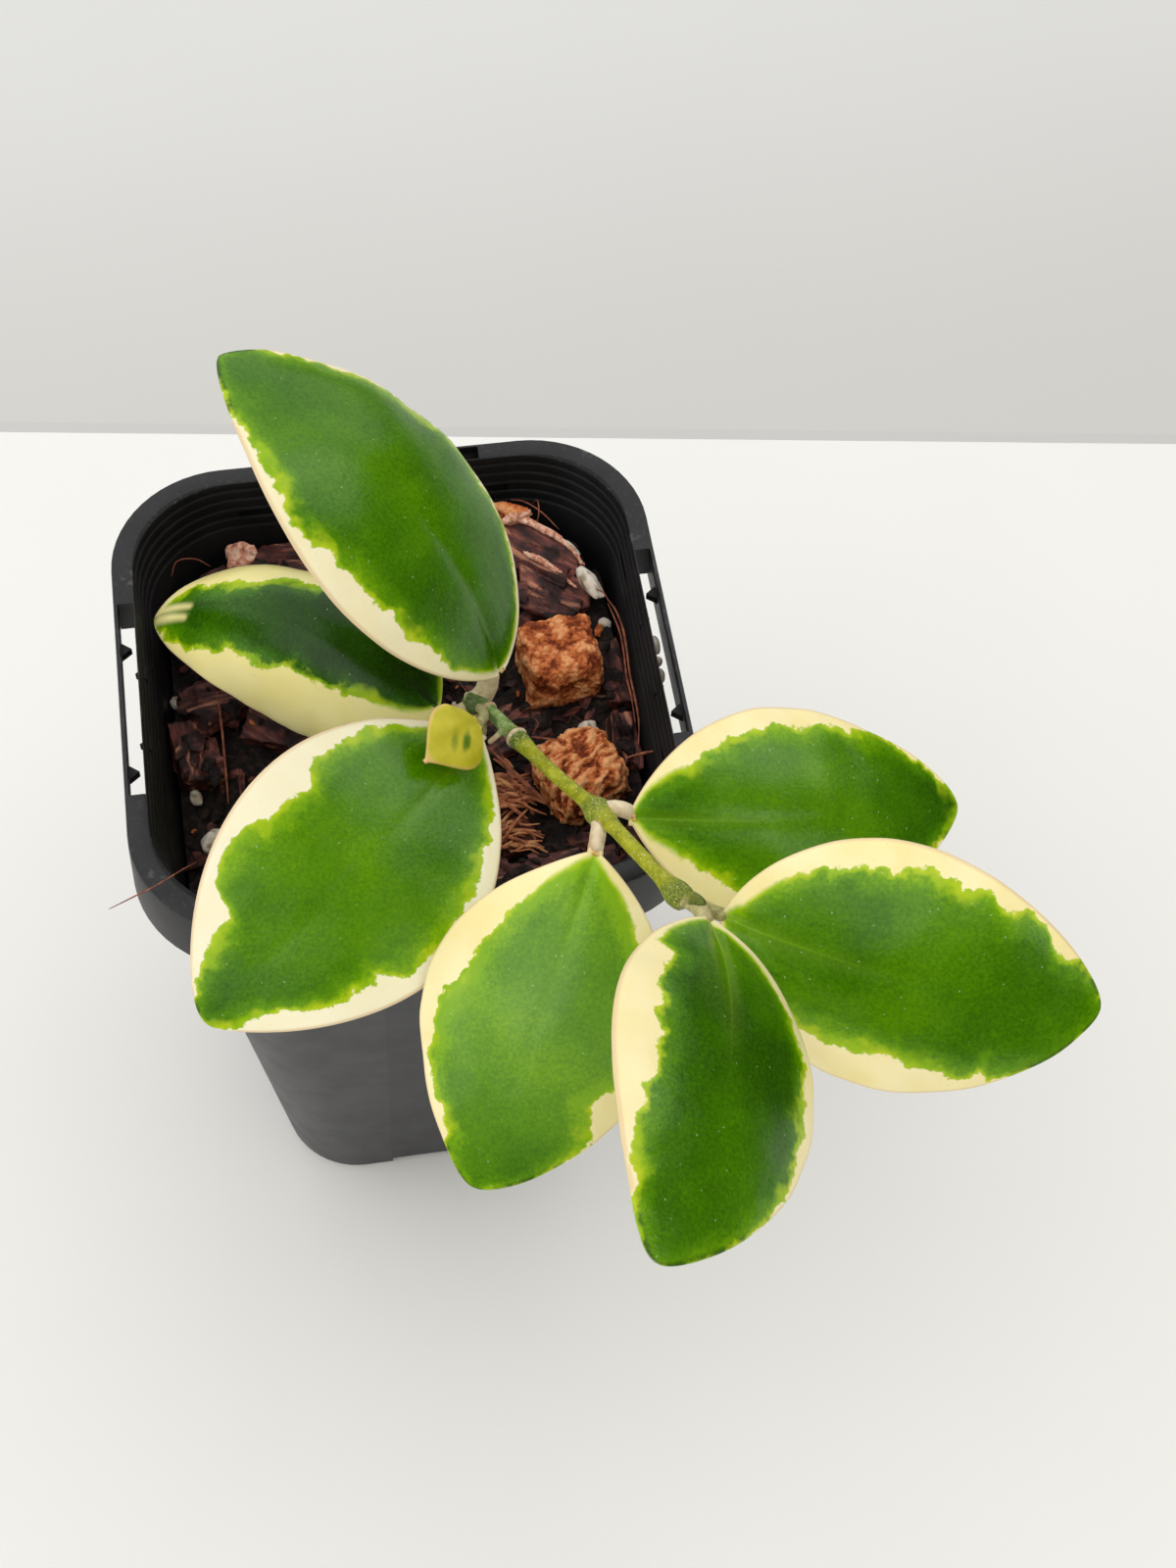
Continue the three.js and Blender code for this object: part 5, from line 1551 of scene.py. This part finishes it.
# Young leaf. A soft yellow-green leaf eleven millimetres long, still opening, with two greener
# patches and a pinkish edge. It grows on the first node.
YOUNG_PATCHES = ((4.2, 1.2, 1.7, 0.95), (5.8, 0.2, 2, 0.55))
PATCH_TURN = 0.9
young, tree, shader = new_finish("young_leaf_skin", Roughness=0.45, Specular_IOR_Level=0.2)
where = place(tree)
on_blade = node(tree, "ShaderNodeSeparateXYZ", {0: attribute(tree, "blade", "Vector")})
from_base, reach, share = [on_blade.outputs[axis] for axis in "XYZ"]
from_edge = attribute(tree, "from_edge")
skin = ramp(tree, grain(tree, where, 3.5, 2), [(0.35, tint(176, 168, 22)), (0.65, tint(196, 186, 48))])
for along_at, across_at, narrow, strength in YOUNG_PATCHES:
    ahead = sums(tree, "SUBTRACT", from_base, along_at)
    aside = sums(tree, "SUBTRACT", reach, across_at)
    slant = sums(tree, "MULTIPLY", aside, 0.5 * PATCH_TURN)
    patch_along = sums(tree, "ADD", sums(tree, "MULTIPLY", ahead, 0.5), slant)
    turned = sums(tree, "SUBTRACT", aside, sums(tree, "MULTIPLY", ahead, PATCH_TURN))
    patch_across = sums(tree, "MULTIPLY", turned, narrow * 0.7)
    patch_gap = node(tree, "ShaderNodeCombineXYZ", {0: patch_along, 1: patch_across}).outputs[0]
    away = node(tree, "ShaderNodeVectorMath", {0: patch_gap}, operation="LENGTH").outputs["Value"]
    away = sums(tree, "ADD", away, sums(tree, "SUBTRACT", grain(tree, where, 1.4, 3, 0.6), 0.5))
    skin = blend(tree, fade(tree, away, 0.3, 1.5, strength, 0), skin, tint(74, 112, 6))
# The pinkish rim is painted stronger along one side, as a painted highlight there.
painted_lit_edge = fade(tree, reach, -4.8, -2.6, 1, 0)
rim_strength = sums(tree, "ADD", sums(tree, "MULTIPLY", painted_lit_edge, 0.4), 0.45)
rim = sums(tree, "MULTIPLY", fade(tree, from_edge, 0.1, 0.8, 1, 0), rim_strength)
skin = blend(tree, rim, skin, tint(226, 184, 120))
skin = blend(tree, fade(tree, share, 0.82, 1, 0, 0.9), skin, tint(226, 182, 130))
tree.links.new(skin, shader.inputs["Base Color"])
relief(tree, shader, grain(tree, where, 0.4, 3), 0.04)
young_blade = blade("young_leaf_blade", LEAVES["young_leaf"], 31)
dress(young_blade, young, "young_leaf", 60)
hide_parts("young_leaf")

# Studio. A pale floor that turns greyer beyond a thin line. The thin line is a painted shadow along the
# corner where a wall would meet the floor, and the grey beyond it is a flat sheet, painted darker near
# the line as painted shade in that corner. Two soft panels, overhead and on the left, and a white room
# light the plant. Five more panels, behind, on the left and on the right, show only as sheen on its
# leaves.
FLOOR_SIZE = 3.0
LINE_LEFT = Vector((-0.079, 0.166, 0))
LINE_RIGHT = Vector((0.195, 0.127, 0))
LINE_WIDTH = 0.003
SHEET_LIFT = 0.00004
PAINTED_SHADE_FADE = (140, 330)
FLOOR_WHITE = tint(240, 239, 235)
SEAM_SHADOW_GREY = tint(200, 199, 196)
ROOM_WHITE = (1, 0.99, 0.97, 1)
ROOM_STRENGTH = 0.66


def sheet_beyond(name, offset, depth):
    """A flat sheet whose near edge lies along the line, moved back by offset."""
    ahead = (LINE_RIGHT - LINE_LEFT).normalized()
    back = Vector((-ahead.y, ahead.x, 0))
    bpy.ops.mesh.primitive_plane_add(size=1)
    made = bpy.context.active_object
    made.name = name
    for point in made.data.vertices:
        near = offset if point.co.y < 0 else offset + depth
        point.co = LINE_LEFT + ahead * point.co.x * FLOOR_SIZE + back * near + Vector((0, 0, SHEET_LIFT))
    return made


def plain_paint(name, near, far):
    """Matt paint that changes a little from the seam to the top of the picture."""
    finish, tree, shader = new_finish(name, Roughness=0.8, Specular_IOR_Level=0.2)
    where = place(tree)
    distance = node(tree, "ShaderNodeSeparateXYZ", {0: where}).outputs["Y"]
    tone = blend(tree, fade(tree, distance, *PAINTED_SHADE_FADE), near, far)
    tone = blend(tree, fade(tree, grain(tree, where, 60, 2), 0.3, 0.7, 0, 0.03), tone, tint(190, 190, 188))
    tree.links.new(tone, shader.inputs["Base Color"])
    return finish


bpy.ops.mesh.primitive_plane_add(size=FLOOR_SIZE)
floor = bpy.context.active_object
floor.name = "floor"
floor.data.materials.append(plain_paint("floor_white", FLOOR_WHITE, FLOOR_WHITE))
# The seam is a painted shadow along the corner where a wall would meet the floor.
line = sheet_beyond("seam", 0, LINE_WIDTH)
line.data.materials.append(plain_paint("seam_grey", SEAM_SHADOW_GREY, SEAM_SHADOW_GREY))
# The backdrop is painted darker near the seam, as painted shade in that corner.
backdrop = sheet_beyond("backdrop", LINE_WIDTH, FLOOR_SIZE)
backdrop.data.materials.append(plain_paint("backdrop_grey", tint(204, 203, 199), tint(218, 218, 216)))


def soft_light(name, azimuth, elevation, distance, width, height, radiance):
    """A light panel that faces the plant; azimuth 0 is the front and 90 the right."""
    data = bpy.data.lights.new(name, "AREA")
    data.shape = "RECTANGLE"
    data.size = width
    data.size_y = height
    data.energy = radiance * math.pi * width * height
    lamp = bpy.data.objects.new(name, data)
    bpy.context.scene.collection.objects.link(lamp)
    turn, climb = math.radians(azimuth), math.radians(elevation)
    away = Vector((math.sin(turn) * math.cos(climb), -math.cos(turn) * math.cos(climb), math.sin(climb)))
    lamp.location = CAMERA_TARGET + away * distance
    lamp.rotation_euler = away.to_track_quat("Z", "Y").to_euler()
    lamp.visible_camera = False
    return lamp


CAMERA_TARGET = Vector((25.16, -24.99, 125.5)) * MM
soft_light("overhead", -150, 80, 1.3, 2.4, 2.4, 0.68).visible_glossy = False
soft_light("left", -80, 40, 1.4, 1.6, 1.6, 0.7).visible_glossy = False
soft_light("sheen_behind", 178, 42, 1.6, 3.4, 2.0, 1.0).visible_diffuse = False
soft_light("sheen_above_left", -62, 66, 1.5, 1.5, 1.2, 1.3).visible_diffuse = False
soft_light("sheen_low_left", -78, 22, 1.5, 0.8, 0.5, 1.1).visible_diffuse = False
soft_light("sheen_right", 106, 48, 1.5, 0.6, 0.7, 1.8).visible_diffuse = False
soft_light("sheen_front_right", 48, 38, 1.5, 0.3, 0.7, 2.8).visible_diffuse = False
world = bpy.data.worlds.new("white_room")
bpy.context.scene.world = world
world.use_nodes = True
world.node_tree.nodes["Background"].inputs["Color"].default_value = ROOM_WHITE
world.node_tree.nodes["Background"].inputs["Strength"].default_value = ROOM_STRENGTH
world.cycles_visibility.glossy = False
bpy.context.scene.view_settings.view_transform = "Standard"
bpy.context.scene.view_settings.look = "None"

# Camera. It looks down at the rim from the front left, a third of a metre away, and is turned a
# little on its own axis.
CAMERA_AZIMUTH = -12.148
CAMERA_ELEVATION = 57.987
CAMERA_ROLL = 3.694
CAMERA_DISTANCE = 0.3355
CAMERA_LENS = 52.05
turn, climb = math.radians(CAMERA_AZIMUTH), math.radians(CAMERA_ELEVATION)
back = Vector((math.sin(turn) * math.cos(climb), -math.cos(turn) * math.cos(climb), math.sin(climb)))
right = Vector((0, 0, 1)).cross(back).normalized()
up = back.cross(right)
camera_data = bpy.data.cameras.new("camera")
camera_data.sensor_width = 36
camera_data.lens = CAMERA_LENS
camera_data.clip_start = 0.01
camera = bpy.data.objects.new("camera", camera_data)
bpy.context.scene.collection.objects.link(camera)
level_view = Matrix((right, up, back)).transposed().to_4x4()
tilted_view = level_view @ Matrix.Rotation(math.radians(CAMERA_ROLL), 4, "Z")
camera.matrix_world = Matrix.Translation(CAMERA_TARGET + back * CAMERA_DISTANCE) @ tilted_view
bpy.context.scene.camera = camera
